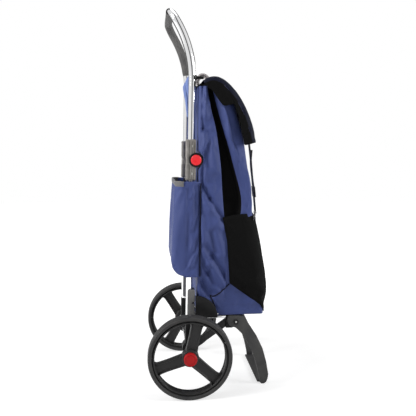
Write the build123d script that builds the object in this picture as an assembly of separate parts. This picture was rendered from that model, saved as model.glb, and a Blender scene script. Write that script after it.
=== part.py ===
from build123d import *
import os
from math import asin, cos, degrees, radians, sin, tan

os.makedirs("parts", exist_ok=True)

# Shopping trolley. Millimetres, +X towards the bag's front, +Y to the left, +Z up.
# Every piece is drawn about the axle (x = 0) and moved by save(), so that the origin ends up
# on the floor in the middle of the footprint. The tube frame leans forward about the axle.

# driving dimensions: running gear
wheel_radius = 110.0
wheel_width = 35.0
wheel_track = 370.0
tyre_depth = 12.0
rim_depth = 4.0
spoke_width = 25.0
spoke_thickness = 11.0
hub_radius = 23.0
axle_radius = 6.0
axle_length = 399.0

# driving dimensions: frame
frame_lean = 1.06
tube_spacing = 210.0
lower_tube_radius = 8.2
upper_tube_radius = 9.5
tube_wall = 1.2
lower_tube_bottom = 194.0
hinge_height = 619.0
hinge_offset = 12.0
handle_straight_top = 828.0
handle_sweep_radius = 280.0
handle_sweep_angle = 31.0
handle_corner_radius = 40.0
grip_thickness = 2.8
grip_start_height = 865.0

# driving dimensions: folding joint, its knob and button
knuckle_wall = 3.6
knuckle_reach = 54.0
ear_radius = 11.0
tongue_width = 8.0
pin_radius = 3.0
knob_radius = 19.0
knob_depth = 8.5
button_radius = 14.0
button_proud = 2.0

# driving dimensions: tray and stand
tray_height = 191.0
tray_reach = 104.0
tray_rod_radius = 5.0
rail_y = 94.0
stand_pivot_x = 131.0
stand_pivot_height = 178.0
leg_outer_y = 111.0
leg_thickness = 8.0
toe_front = 222.5
foot_back, foot_front = 192.0, 219.0
foot_thickness = 5.0
foot_pad_thickness = 2.0

# driving dimensions: bag
bag_bottom = 205.5
bag_top = 811.0
cloth = 3.0
flap_half_width = 132.0
flap_cloth = 4.0

# clearances
running = 0.05
seat = 0.1
gap = 0.4

tube_y = tube_spacing / 2
wheel_y = wheel_track / 2
shift = (toe_front - wheel_radius) / 2
axle_height = wheel_radius
sides = {"right": -1, "left": 1}


# --- helpers -------------------------------------------------------------------------------

def tilt(shape):
    """Lean a piece of the tube frame forward about the axle."""
    about_axle = Axis((0, 0, axle_height), (0, 1, 0))
    return shape.rotate(about_axle, frame_lean)


def leaned(x, z):
    """Where a point of the upright frame stands once the frame leans."""
    a, dz = radians(frame_lean), z - axle_height
    return x * cos(a) + dz * sin(a), axle_height + dz * cos(a) - x * sin(a)


def rod(x, z, y0, y1, radius):
    """Cylinder along Y from y0 to y1."""
    base = Plane(origin=(x, y0, z), x_dir=(1, 0, 0), z_dir=(0, 1, 0))
    return extrude(base * Circle(radius), amount=y1 - y0)


def post(x, y, z0, z1, radius):
    """Cylinder along Z."""
    return extrude(Plane.XY.offset(z0) * Pos(x, y) * Circle(radius), amount=z1 - z0)


def block(x0, x1, y0, y1, z0, z1):
    return Pos((x0 + x1) / 2, (y0 + y1) / 2, (z0 + z1) / 2) * Box(x1 - x0, y1 - y0, z1 - z0)


def plate(points, y0, y1):
    """Outline of (x, z) points, from y0 to y1."""
    outline = Polyline(*[(x, y0, z) for x, z in points], close=True)
    return extrude(make_face(outline), amount=y1 - y0, dir=(0, 1, 0))


def softened(shape, axis, radius):
    """Round the edges that run along an axis."""
    return fillet(shape.edges().filter_by(axis), radius)


def other_side(shape):
    return mirror(shape, Plane.XZ)


def on_side(shape, side):
    """A piece drawn on the right (-Y) side, put on its own side."""
    return shape if side < 0 else other_side(shape)


def both(shape):
    return Compound([*shape.solids(), *other_side(shape).solids()])


def save(name, shape):
    """Move a piece from the axle's frame to the trolley's, and write it."""
    solids = shape.solids()
    whole = solids[0] if len(solids) == 1 else Compound(solids)
    export_step(Pos(-shift, 0, 0) * whole, f"parts/{name}.step")


# --- wheels --------------------------------------------------------------------------------

rim_outer = wheel_radius - tyre_depth
rim_inner = rim_outer - rim_depth
hub_width = 26.0
bush_radius = 10.5
cap_radius = 17.0
cap_proud = 6.0
cap_wall = 2.0


def ring(outline):
    """Turn a half section of (radius, y) points about the axle line of a wheel at y = 0."""
    face = make_face(Polyline(*[(r, y, 0) for r, y in outline], close=True))
    return revolve(face, Axis.Y, 360)


def tyre():
    half, groove, edge = wheel_width / 2, 1.2, 4.0
    shoulder = wheel_radius - 2.5
    outline = [
        (rim_outer + running, -half + edge),
        (shoulder - 3, -half),
        (shoulder, -half + 2),
        (wheel_radius, -half + 7),
        (wheel_radius, -2),
        (wheel_radius - groove, 0),
        (wheel_radius, 2),
        (wheel_radius, half - 7),
        (shoulder, half - 2),
        (shoulder - 3, half),
        (rim_outer + running, half - edge),
    ]
    return ring(outline)


def spoke():
    """One broad spoke along +X that flares into the rim."""
    half, root, flare = spoke_width / 2, spoke_width * 0.62, spoke_width * 1.15
    right = [(0, root), (hub_radius, root), (hub_radius + 14, half), (rim_inner - 22, half)]
    right += [(rim_inner - 9, half + 4), (rim_inner + 1, flare)]
    outline = right + [(x, -z) for x, z in reversed(right)]
    return plate(outline, -spoke_thickness / 2, spoke_thickness / 2)


def rim(first_spoke):
    """Rim, three spokes and hub in one moulding, bored for the bush."""
    half = wheel_width / 2 - 4.0
    band = ring([(rim_inner, -half), (rim_outer, -half), (rim_outer, half), (rim_inner, half)])
    body = band + rod(0, 0, -hub_width / 2, hub_width / 2, hub_radius)
    for turn in range(3):
        body += spoke().rotate(Axis.Y, -(first_spoke + 120 * turn))
    outside = rod(0, 0, -wheel_width, wheel_width, rim_outer)
    return (body & outside) - rod(0, 0, -hub_width, hub_width, bush_radius + seat)


def bush():
    length = hub_width / 2
    return rod(0, 0, -length, length, bush_radius) - rod(0, 0, -length, length, axle_radius + running)


def cap():
    """Hollow hub cap over the axle's end, drawn for a wheel whose outside is -Y."""
    base, face = -hub_width / 2 - seat, -wheel_width / 2 - cap_proud
    shell = rod(0, 0, face, base, cap_radius)
    shell = fillet(shell.edges().filter_by(GeomType.CIRCLE).sort_by(Axis.Y)[0], 3.0)
    return shell - rod(0, 0, face + cap_wall, base + 1, cap_radius - cap_wall)


spoke_angles = {"right": 78.0, "left": 2.0}
for side, sign in sides.items():
    place = Pos(0, sign * wheel_y, axle_height)
    save(f"tyre_{side}", place * tyre())
    save(f"wheel_rim_{side}", place * rim(spoke_angles[side]))
    save(f"wheel_bush_{side}", place * bush())
    save(f"wheel_cap_{side}", place * on_side(cap(), sign))

# --- axle and the legs that hold it --------------------------------------------------------

axle_leg_width = 18.0
axle_boss_radius = 16.0
leg_spigot = 26.0
strut_width = 14.0
strut_depth = 18.0
strut_y = 88.5
hub_face_y = wheel_y - hub_width / 2
leg_face_y = tube_y + axle_leg_width / 2


def axle():
    return rod(0, axle_height, -axle_length / 2, axle_length / 2, axle_radius)


def spacer():
    """Tube on the axle between a leg and its wheel."""
    y0, y1 = -hub_face_y + gap, -leg_face_y - running
    tube = rod(0, axle_height, y0, y1, axle_radius + 2.5)
    return tube - rod(0, axle_height, y0, y1, axle_radius + running)


def axle_clip():
    """Push-on clip at the axle's end, inside the hub cap."""
    y0 = -wheel_y - hub_width / 2 - gap
    clip = rod(0, axle_height, y0 - 1.2, y0, axle_radius + 5)
    return clip - rod(0, axle_height, y0 - 1.2, y0, axle_radius + running)


def axle_leg():
    """Black leg from the tube's foot down to the axle, with a spigot up into the tube."""
    half = axle_leg_width / 2
    body = block(-half, half, -tube_y - half, -tube_y + half, axle_height, lower_tube_bottom)
    body = softened(body, Axis.Z, 3.0)
    body += rod(0, axle_height, -tube_y - half, -tube_y + half, axle_boss_radius)
    bore = lower_tube_radius - tube_wall - running
    body += post(0, -tube_y, lower_tube_bottom - 1, lower_tube_bottom + leg_spigot, bore)
    return body - rod(0, axle_height, -tube_y - 20, -tube_y + 20, axle_radius + running)


def strut():
    """Brace from an eye on the axle up to the tray's bracket."""
    start, slope = (6.0, 102.0), tan(radians(35.0))
    y0, y1 = -strut_y - strut_width / 2, -strut_y + strut_width / 2
    rise, up = (tray_reach - start[0]) * slope, strut_depth / 2 / cos(radians(35.0))
    body = plate([
        (start[0], start[1] - up), (tray_reach - running, start[1] + rise - up),
        (tray_reach - running, start[1] + rise + up), (start[0], start[1] + up)], y0, y1)
    body += rod(0, axle_height, y0, y1, axle_boss_radius)
    return body - rod(0, axle_height, y0 - 1, y1 + 1, axle_radius + running)


save("axle", axle())
save("axle_spacers", both(spacer()))
save("axle_clips", both(axle_clip()))
for side, sign in sides.items():
    save(f"axle_leg_{side}", on_side(tilt(axle_leg()), sign))
    save(f"strut_{side}", on_side(strut(), sign))

# --- lower frame tubes, clamps and cheeks --------------------------------------------------

hinge_clear = ear_radius + 1.0
knuckle_half = upper_tube_radius + knuckle_wall
ear_out = -tube_y - knuckle_half
ear_in = -tube_y + knuckle_half
rivet_radius = 2.0
rivet_low = hinge_height - 36.0
rivet_high = hinge_height + 36.0
clamp_bottom, clamp_top = 201.0, 271.5
clamp_back, clamp_front = -4.5, 15.5
clamp_outer_y, clamp_inner_y = 121.0, 87.0
cheek_size = 60.0
cheek_thickness = 8.0
cheek_outer_y = 126.0


def rivet_holes(z):
    return rod(0, z, ear_out - 5, ear_in + 5, rivet_radius + running)


def lower_tube():
    top = hinge_height - hinge_clear
    outer = post(0, -tube_y, lower_tube_bottom, top, lower_tube_radius)
    inner = post(0, -tube_y, lower_tube_bottom, top, lower_tube_radius - tube_wall)
    return outer - inner - rivet_holes(rivet_low)


def clamp():
    """Grey moulding round the front of the tube, which holds the tray's rail and cheek."""
    body = block(clamp_back, clamp_front, -clamp_outer_y, -clamp_inner_y, clamp_bottom, clamp_top)
    body = softened(body, Axis.Y, 3.0)
    band = block(clamp_front - 8, clamp_front + 1, -clamp_outer_y - 1, -clamp_inner_y + 1, 234, 238)
    body -= band
    return body - post(0, -tube_y, clamp_bottom - 1, clamp_top + 1, lower_tube_radius + running)


clamp_face = leaned(clamp_front, clamp_top)[0] + gap
cheek_base = tray_height + tray_rod_radius + seat


def cheek():
    """Quarter-round side plate, with a flange that stands on the tray's rail."""
    x0, z0 = clamp_face, cheek_base
    y0, y1 = -cheek_outer_y, -cheek_outer_y + cheek_thickness
    panel = rod(x0, z0, y0, y1, cheek_size) & block(x0, x0 + cheek_size, y0, y1, z0, z0 + cheek_size)
    return panel + block(x0, x0 + cheek_size, y0, -rail_y + 4, z0, z0 + 4)


for side, sign in sides.items():
    save(f"lower_tube_{side}", on_side(tilt(lower_tube()), sign))
    save(f"frame_clamp_{side}", on_side(tilt(clamp()), sign))
    save(f"tray_cheek_{side}", on_side(cheek(), sign))

# --- tray ----------------------------------------------------------------------------------

bracket_front = 152.0
bracket_inner_y, bracket_outer_y = 80.0, 99.5
stand_pin_radius = 4.0


def rail():
    """Chromed rod from the axle leg's top to the bracket."""
    x0 = leaned(axle_leg_width / 2, tray_height + tray_rod_radius)[0] + seat
    start = Plane(origin=(x0, -rail_y, tray_height), x_dir=(0, 1, 0), z_dir=(1, 0, 0))
    return extrude(start * Circle(tray_rod_radius), amount=tray_reach - running - x0)


def cross_rods():
    """Rods across the tray: one at the back, two under the bag, one at the front."""
    y1 = rail_y - tray_rod_radius - running
    rods = [rod(x, tray_height, -y1, y1, tray_rod_radius - 1) for x in (24.0, 52.0, 80.0)]
    y2 = bracket_inner_y - running
    rods.append(rod(bracket_front - 12, tray_height, -y2, y2, tray_rod_radius))
    return Compound([s for r in rods for s in r.solids()])


def bracket():
    """Black end fitting: takes the rail and strut behind, and the stand's pin at its side."""
    top = tray_height + tray_rod_radius
    body = plate([
        (tray_reach, 158), (tray_reach + 18, 158), (bracket_front, 172),
        (bracket_front, top - 2), (bracket_front - 2, top), (tray_reach, top)],
        -bracket_outer_y, -bracket_inner_y)
    return body - rod(stand_pivot_x, stand_pivot_height, -bracket_outer_y - 1,
                      -bracket_inner_y + 1, stand_pin_radius + running)


def stand_pin():
    """Pivot pin with a domed head outside the leg."""
    head = -leg_outer_y - 2.0
    pin = rod(stand_pivot_x, stand_pivot_height, head, -bracket_inner_y - 1, stand_pin_radius)
    return pin + rod(stand_pivot_x, stand_pivot_height, head, -leg_outer_y - gap, 7.0)


for side, sign in sides.items():
    save(f"tray_rail_{side}", on_side(rail(), sign))
    save(f"stand_bracket_{side}", on_side(bracket(), sign))
save("tray_cross_rods", cross_rods())
save("stand_pins", both(stand_pin()))

# --- stand ---------------------------------------------------------------------------------

foot_pad_spacing, pad_half = 76.0, 22.0


def leg():
    """Curved leg: a thin web with a deeper rim along its back edge."""
    front = [(139, 195.5), (157, 190.5), (166, 172.5), (188.5, 137), (206, 100), (216, 64), (toe_front, 27),
             (toe_front - 1.5, 14), (toe_front - 5.5, 4.5), (toe_front - 11.5, 0)]
    back = [(203, 0), (198.5, 4), (197, 18), (190, 51), (177.5, 90), (164, 118), (151, 140.5), (131, 160.5),
            (113, 168), (107, 180), (109, 196.5)]
    y0 = -leg_outer_y
    body = plate(front + back, y0, y0 + leg_thickness)
    hole = rod(stand_pivot_x, stand_pivot_height, y0 - 1, y0 + leg_thickness + 1,
               stand_pin_radius + running)
    return body - hole


def foot():
    """Flat foot plate between the legs."""
    y, z0 = leg_outer_y - leg_thickness - running, foot_pad_thickness
    return softened(block(foot_back, foot_front, -y, y, z0, z0 + foot_thickness), Axis.Y, 2.0)


def foot_pads():
    """Soft strips under the foot."""
    strips = []
    for y in (-foot_pad_spacing, 0.0, foot_pad_spacing):
        pad = block(foot_back + 5, foot_front - 5, y - pad_half, y + pad_half, 0, foot_pad_thickness)
        strips += softened(pad, Axis.Z, 5.0).solids()
    return Compound(strips)


for side, sign in sides.items():
    save(f"stand_leg_{side}", on_side(leg(), sign))
save("stand_foot", foot())
save("foot_pads", foot_pads())

# --- folding knuckles ----------------------------------------------------------------------

tongue_y0 = -tube_y - tongue_width / 2
tongue_y1 = -tube_y + tongue_width / 2


def knuckle_block(z0, z1, tube_radius):
    """Clamshell body round a tube's end, up to the hinge's plane."""
    body = block(-knuckle_half, hinge_offset - gap, ear_out, ear_in, z0, z1)
    body = softened(body, Axis.Z, 4.0)
    return body - post(0, -tube_y, z0 - 1, z1 + 1, tube_radius + running)


def plug(z0, z1, tube_radius):
    """Solid end of a knuckle, next to the pivot, that stops the tube."""
    return post(0, -tube_y, z0, z1, tube_radius + 1)


def lower_knuckle():
    """Lower half of the joint, with the tongue that the pin goes through."""
    z0, z1 = hinge_height - knuckle_reach, hinge_height - gap
    body = knuckle_block(z0, z1, lower_tube_radius)
    body += plug(hinge_height - hinge_clear + running, z1, lower_tube_radius)
    for y0, y1 in ((ear_out - 1, tongue_y0), (tongue_y1, ear_in + 1)):
        body -= rod(hinge_offset, hinge_height, y0 - gap, y1 + gap, ear_radius + gap)
    inner0, inner1 = tongue_y0 + gap, tongue_y1 - gap
    body += rod(hinge_offset, hinge_height, inner0, inner1, ear_radius)
    body += block(0, hinge_offset, inner0, inner1, hinge_height - ear_radius, z1)
    body -= rod(hinge_offset, hinge_height, ear_out - 5, ear_in + 5, pin_radius + running)
    return body - rivet_holes(rivet_low)


def upper_knuckle():
    """Upper half of the joint, with an ear on each side of the tongue."""
    z0, z1 = hinge_height + gap, hinge_height + knuckle_reach
    body = knuckle_block(z0, z1, upper_tube_radius)
    body += plug(z0, hinge_height + hinge_clear - running, upper_tube_radius)
    body -= rod(hinge_offset, hinge_height, tongue_y0, tongue_y1, ear_radius + gap)
    for y0, y1 in ((ear_out, tongue_y0), (tongue_y1, ear_in)):
        body += rod(hinge_offset, hinge_height, y0, y1, ear_radius)
        body += block(0, hinge_offset, y0, y1, z0, hinge_height + ear_radius)
    body -= rod(hinge_offset, hinge_height, ear_out - 5, ear_in + 5, pin_radius + running)
    return body - rivet_holes(rivet_high)


def hinge_pin():
    return rod(hinge_offset, hinge_height, ear_out + 1, ear_in + 1.5, pin_radius)


def rivet(z):
    """Headed rivet through a knuckle and its tube."""
    shank = rod(0, z, ear_out - 1.2, ear_in + 1.2, rivet_radius)
    for y0, y1 in ((ear_out - 1.2, ear_out - running), (ear_in + running, ear_in + 1.2)):
        shank += rod(0, z, y0, y1, 3.6)
    return shank


# --- knob and release button ---------------------------------------------------------------

knob_y1 = ear_out - seat
knob_y0 = knob_y1 - knob_depth
knob_floor = 1.5
button_y0 = knob_y0 - button_proud
button_thickness = 3.0
spring_radius = 7.0
spring_wire = 0.5


def knob():
    """Dished ring on the outer ear, round the button."""
    body = rod(hinge_offset, hinge_height, knob_y0, knob_y1, knob_radius)
    body = chamfer(body.edges().filter_by(GeomType.CIRCLE).sort_by(Axis.Y)[0], 2.0)
    well = rod(hinge_offset, hinge_height, knob_y0 - 1, knob_y1 - knob_floor, button_radius + gap)
    through = rod(hinge_offset, hinge_height, knob_y0 - 1, knob_y1 + 1, pin_radius + running)
    return body - well - through


def button():
    face = button_y0 + button_thickness
    body = rod(hinge_offset, hinge_height, button_y0, face, button_radius)
    body = fillet(body.edges().filter_by(GeomType.CIRCLE).sort_by(Axis.Y)[0], 1.0)
    return body


def button_spring():
    """Coil under the button, standing on the knob's floor."""
    start = button_y0 + button_thickness + spring_wire + seat
    height = knob_y1 - knob_floor - spring_wire - seat - start
    turn = Helix(pitch=height / 2.5, height=height, radius=spring_radius)
    wire_start = Plane(origin=turn @ 0, z_dir=turn % 0)
    coil = sweep(wire_start * Circle(spring_wire), path=turn)
    base = Plane(origin=(hinge_offset, start, hinge_height), x_dir=(1, 0, 0), z_dir=(0, 1, 0))
    return base.location * coil


for side, sign in sides.items():
    save(f"lower_knuckle_{side}", on_side(tilt(lower_knuckle()), sign))
    save(f"upper_knuckle_{side}", on_side(tilt(upper_knuckle()), sign))
    save(f"knob_ring_{side}", on_side(tilt(knob()), sign))
    save(f"release_button_{side}", on_side(tilt(button()), sign))
save("button_springs", both(tilt(button_spring())))
save("hinge_pins", both(tilt(hinge_pin())))
save("lower_rivets", both(tilt(rivet(rivet_low))))
save("upper_rivets", both(tilt(rivet(rivet_high))))

# --- handle --------------------------------------------------------------------------------

sweep_rad = radians(handle_sweep_angle)
sweep_end_x = -handle_sweep_radius * (1 - cos(sweep_rad))
sweep_end_z = handle_straight_top + handle_sweep_radius * sin(sweep_rad)
along = Vector(-sin(sweep_rad), 0, cos(sweep_rad))
corner_start = Vector(sweep_end_x, -tube_y, sweep_end_z)
corner_centre = corner_start + Vector(0, handle_corner_radius, 0)
corner_end = corner_centre + along * handle_corner_radius
corner_mid = corner_centre + (along * sin(radians(45)) - Vector(0, 1, 0) * cos(radians(45))) * handle_corner_radius
top_middle = Vector(corner_end.X, 0, corner_end.Z)
sweep_centre = Vector(-handle_sweep_radius, -tube_y, handle_straight_top)


def on_sweep(angle):
    """Point of the swept-back leg at an angle from its start."""
    a = radians(angle)
    return sweep_centre + Vector(cos(a), 0, sin(a)) * handle_sweep_radius


def half_handle_path():
    bottom = Vector(0, -tube_y, hinge_height + hinge_clear)
    bend = Vector(0, -tube_y, handle_straight_top)
    return Wire([
        Line(bottom, bend),
        ThreePointArc(bend, on_sweep(handle_sweep_angle / 2), on_sweep(handle_sweep_angle)),
        ThreePointArc(corner_start, corner_mid, corner_end),
        Line(corner_end, top_middle)])


def handle_tube():
    path = half_handle_path()
    start = Plane(origin=path @ 0, x_dir=(0, 1, 0), z_dir=(0, 0, 1))
    section = start * (Circle(upper_tube_radius) - Circle(upper_tube_radius - tube_wall))
    half = sweep(section, path=path)
    whole = half + other_side(half)
    return whole - rivet_holes(rivet_high) - other_side(rivet_holes(rivet_high))


def grip_section(origin, direction, inwards=(0, 1, 0)):
    """Half ring on the loop's inner side; +X of the section's plane points inwards."""
    place = Plane(origin=origin, x_dir=inwards, z_dir=direction)
    full = Circle(upper_tube_radius + grip_thickness) - Circle(upper_tube_radius + seat)
    reach = upper_tube_radius + grip_thickness
    inner_half = Pos(reach / 2 + 0.8, 0) * Rectangle(reach, 3 * reach)
    return place * (full & inner_half)


def handle_grip():
    """Ribbed liner along the inside of the loop: swept legs, corners and crossbar."""
    first = degrees(asin((grip_start_height - handle_straight_top) / handle_sweep_radius))
    turn = handle_sweep_angle - first
    a = radians(first)
    leg_face = grip_section(on_sweep(first), (-sin(a), 0, cos(a)))
    half = revolve(leg_face, Axis(tuple(sweep_centre), (0, -1, 0)), turn)
    corner_face = grip_section(corner_start, tuple(along))
    corner_axis = Axis(tuple(corner_centre), tuple(along.cross(Vector(0, 1, 0))))
    half += revolve(corner_face, corner_axis, 90)
    bar_face = grip_section(corner_end, (0, 1, 0), tuple(along * -1))
    half += extrude(bar_face, amount=-corner_end.Y)
    return half + other_side(half)


hanger_height = 848.0
hanger_radius = 5.0
hanger_x = on_sweep(degrees(asin((hanger_height - handle_straight_top) / handle_sweep_radius))).X
hook_height = 834.0
strap_y = 58.0
strap_width = 34.0
strap_cloth = 2.0


def hanger_bar():
    """Crossbar between the handle's tubes that the bag hangs from."""
    end = tube_y - upper_tube_radius - grip_thickness
    return rod(hanger_x, hanger_height, -end, end, hanger_radius)


def hook():
    """Black collar on the tube, with an arm forward to the bag's top corner."""
    z0, z1 = hook_height - 9, hook_height + 9
    ring_body = post(0, -tube_y, z0, z1, upper_tube_radius + 3)
    arm = block(upper_tube_radius - 2, upper_tube_radius + 17, -tube_y - 5, -tube_y + 5,
                hook_height - 5, hook_height + 3)
    tip = block(upper_tube_radius + 13, upper_tube_radius + 17, -tube_y - 5, -tube_y + 5,
                hook_height - 5, hook_height + 9)
    return ring_body + arm + tip - post(0, -tube_y, z0 - 20, z1 + 20, upper_tube_radius + 1.0)


def hang_strap():
    """Cloth loop over the hanger bar, closed behind with a snap."""
    x, r = hanger_x, hanger_radius + 1.5
    drop = 96.0
    outer = [(x + r + 3, hanger_height - drop), (x + r + 3, hanger_height - 4), (x + r + 1, hanger_height + 5),
             (x + 2, hanger_height + r + 3), (x - r, hanger_height + 6), (x - r - 5, hanger_height - 10),
             (x - r - 4, hanger_height - 40), (x + 4, hanger_height - drop)]
    body = plate(outer, -strap_y - strap_width / 2, -strap_y + strap_width / 2)
    inner = offset(body.faces().sort_by(Axis.Y)[0], amount=-strap_cloth)
    return body - extrude(inner, amount=-strap_width - 1, dir=(0, -1, 0))


for name, piece in (("handle_tube", handle_tube()), ("handle_grip", handle_grip()),
                    ("hanger_bar", hanger_bar())):
    save(name, tilt(piece))
for side, sign in sides.items():
    save(f"hook_{side}", on_side(tilt(hook()), sign))
save("hang_straps", both(tilt(hang_strap())))

# --- bag -----------------------------------------------------------------------------------

# height, back, front and half width of the bag's outside, from the floor of the bag up
bag_levels = [
    (bag_bottom, 24.0, 196.0, 114.0),
    (270.0, 24.0, 202.0, 117.0),
    (320.0, 24.0, 198.0, 127.0),
    (380.0, 25.0, 191.0, 131.0),
    (479.0, 25.5, 173.0, 132.0),
    (657.0, 27.0, 146.0, 126.0),
    (765.0, 28.5, 122.0, 120.0),
    (bag_top, 29.5, 96.0, 116.0),
]
bag_corner = 30.0
dent_front, dent_inner = 43.0, 88.0
dent_reach = knob_radius + 3.0


def bag_body(inset, top_extra=0.0):
    """Loft through the bag's levels, moved inwards by inset."""
    rings = []
    for n, (z, back, front, half) in enumerate(bag_levels):
        z += inset if n == 0 else 0
        z += top_extra if n == len(bag_levels) - 1 else 0
        width, depth = 2 * (half - inset), front - back - 2 * inset
        outline = RectangleRounded(depth, width, bag_corner - inset)
        rings.append(Plane.XY.offset(z) * Pos((front + back) / 2, 0) * outline)
    return loft(rings, ruled=True)


def hinge_dents(grow):
    """Room in the bag's back corners for the knuckles and knobs."""
    x, z = leaned(hinge_offset, hinge_height)
    dent = block(0, dent_front + grow, -200, -dent_inner + grow, z - dent_reach - grow, z + dent_reach + grow)
    return dent + other_side(dent)


def bag_shell():
    """Open-topped cloth bag."""
    outside = bag_body(0) - hinge_dents(0)
    inside = bag_body(cloth, top_extra=5.0) - hinge_dents(cloth)
    return outside - inside


def base_board():
    """Stiff board on the bag's floor."""
    z0 = bag_bottom + cloth + seat
    back, front, half = bag_levels[0][1:]
    board = block(back + cloth + 2, front - cloth - 2, -half + cloth + 2, half - cloth - 2, z0, z0 + 3)
    return softened(board, Axis.Z, bag_corner - cloth)


front_pocket_back = 92.0
front_pocket_top, front_pocket_low = 474.0, 290.0


def front_pocket():
    """Flat zipped pocket round the bag's lower front."""
    side = [(front_pocket_back, front_pocket_top - 4), (182, front_pocket_top + 5), (202, 380),
            (213, 270), (206, bag_bottom + 6), (201, bag_bottom + 2), (112, front_pocket_low)]
    half = bag_levels[4][3] + 3
    outside = softened(plate(side, -half, half), Axis.Y, 3.0)
    return outside - bag_body(-seat, top_extra=seat)


rear_pocket_back, rear_pocket_top, rear_pocket_bottom = -41.0, 562.0, 308.0
rear_pocket_half = 137.0
rear_pocket_front = 23.0


def rear_pocket():
    """Open pocket behind the frame, whose sides wrap round the tubes to the bag."""
    def tub(inset, low, high):
        depth = rear_pocket_front - rear_pocket_back - inset + 60
        outline = RectangleRounded(depth, 2 * (rear_pocket_half - inset), 26 - inset)
        centre = rear_pocket_back + inset + depth / 2
        return extrude(Plane.XY.offset(low) * Pos(centre, 0) * outline, amount=high - low)
    outside = tub(0, rear_pocket_bottom, rear_pocket_top)
    inside = tub(cloth, rear_pocket_bottom + cloth, rear_pocket_top + 1)
    keep = block(-100, rear_pocket_front, -200, 200, 0, 1000)
    pocket = (outside & keep) - inside
    passage = post(0, -tube_y, 200, 700, lower_tube_radius + 1.0)
    return pocket - tilt(passage) - tilt(other_side(passage))


def pocket_rim():
    """Grey binding along the rear pocket's mouth."""
    z0, z1 = rear_pocket_top + seat, rear_pocket_top + 2
    outline = RectangleRounded(40, 2 * rear_pocket_half, 19)
    outer = Plane.XY.offset(z0) * Pos(rear_pocket_back + 20, 0) * outline
    inner = Plane.XY.offset(z0) * Pos(rear_pocket_back + 20 + cloth, 0) * RectangleRounded(
        40, 2 * (rear_pocket_half - cloth), 19 - cloth)
    band = extrude(outer - inner, amount=z1 - z0)
    return band & block(-100, rear_pocket_back + 20, -200, 200, 0, 1000)


save("bag_shell", bag_shell())
save("base_board", base_board())
save("front_pocket", front_pocket())
save("rear_pocket", rear_pocket())
save("pocket_rim", pocket_rim())

# --- flap, closing strap and ring ----------------------------------------------------------

flap_lip = (178.0, 664.0)
skirt = 3.5


def flap_outline():
    return [(38, 824), (66, 834), (100, 820), (131, 785), (162, 732), flap_lip]


def flap():
    """Curved lid with a side skirt at each end."""
    top = flap_outline()
    under = [(flap_lip[0] - flap_cloth, flap_lip[1]), (158, 731), (127.5, 783), (97.5, 816.5), (66, 829.8),
             (39, 820)]
    lid = plate(top + under, -flap_half_width, flap_half_width)
    inner = [(150, 660), (130, 733), (104, 775), (76, 806), (52, 815), (39, 820)]
    ends = plate(top + inner, -flap_half_width, -flap_half_width + skirt)
    return lid + ends + other_side(ends)


strap_half = 14.0
strap_thickness = 2.0
strap_end = (202.0, 470.0)
strap_start = (flap_lip[0] + 5.0, flap_lip[1] - 2.0)


def along_strap(share):
    """Point of the strap's middle line, from its top (0) to its end (1)."""
    x0, z0 = strap_start
    return x0 + (strap_end[0] - x0) * share, z0 + (strap_end[1] - z0) * share


def closing_strap():
    (x0, z0), (x1, z1) = along_strap(0.01), along_strap(1.0)
    t = strap_thickness / 2
    return plate([(x0 - t, z0), (x0 + t, z0), (x1 + t, z1), (x1 - t, z1)], -strap_half, strap_half)


def slider():
    """Ladder buckle on the strap."""
    x, z = along_strap(0.73)
    body = softened(block(x - 4, x + 4, -strap_half - 4, strap_half + 4, z - 11, z + 11), Axis.X, 3.0)
    slot = block(x - 2.6, x + 2.6, -strap_half - 0.5, strap_half + 0.5, z - 12, z + 12)
    return body - slot


def snap_hook():
    """Steel snap hook under the strap's end."""
    x, z = strap_end
    z -= seat
    eye = block(x - 2, x + 2, -strap_half - 2, strap_half + 2, z - 6, z)
    stem = post(x, 0, z - 20, z - 5, 3.5)
    bow = Pos(x, 0, z - 28) * Rot(0, 90, 0) * Torus(9, 2.2)
    return eye + stem + bow


def pocket_ring():
    """D-ring on the front pocket that the hook clips to."""
    x, z = strap_end[0] + 3, strap_end[1] - 52
    bow = Pos(x, 0, z) * Rot(0, 90, 0) * Torus(10, 1.5)
    return bow + block(x - 3, x + 1, -9, 9, z - 16, z - 8)


loop_cord = 2.2


def flap_loops():
    """Three nested loops of cord that stand up from the flap's back seam."""
    x, z, base = 56.0, 834.0, 836.5
    loops = []
    for radius in (7.0, 12.5, 18.0):
        whole = Pos(x, 0, z) * Rot(90, 0, 0) * Torus(radius, loop_cord)
        loops += (whole & block(0, 100, -20, 20, base, 900)).solids()
    return Compound(loops)


save("flap", flap())
save("flap_loops", flap_loops())
save("closing_strap", closing_strap())
save("strap_slider", slider())
save("snap_hook", snap_hook())
save("pocket_ring", pocket_ring())
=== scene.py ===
import bpy, bmesh, math
import numpy as np
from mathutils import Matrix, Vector, noise
from mathutils.bvhtree import BVHTree
from math import sin, cos, pi, radians


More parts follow.
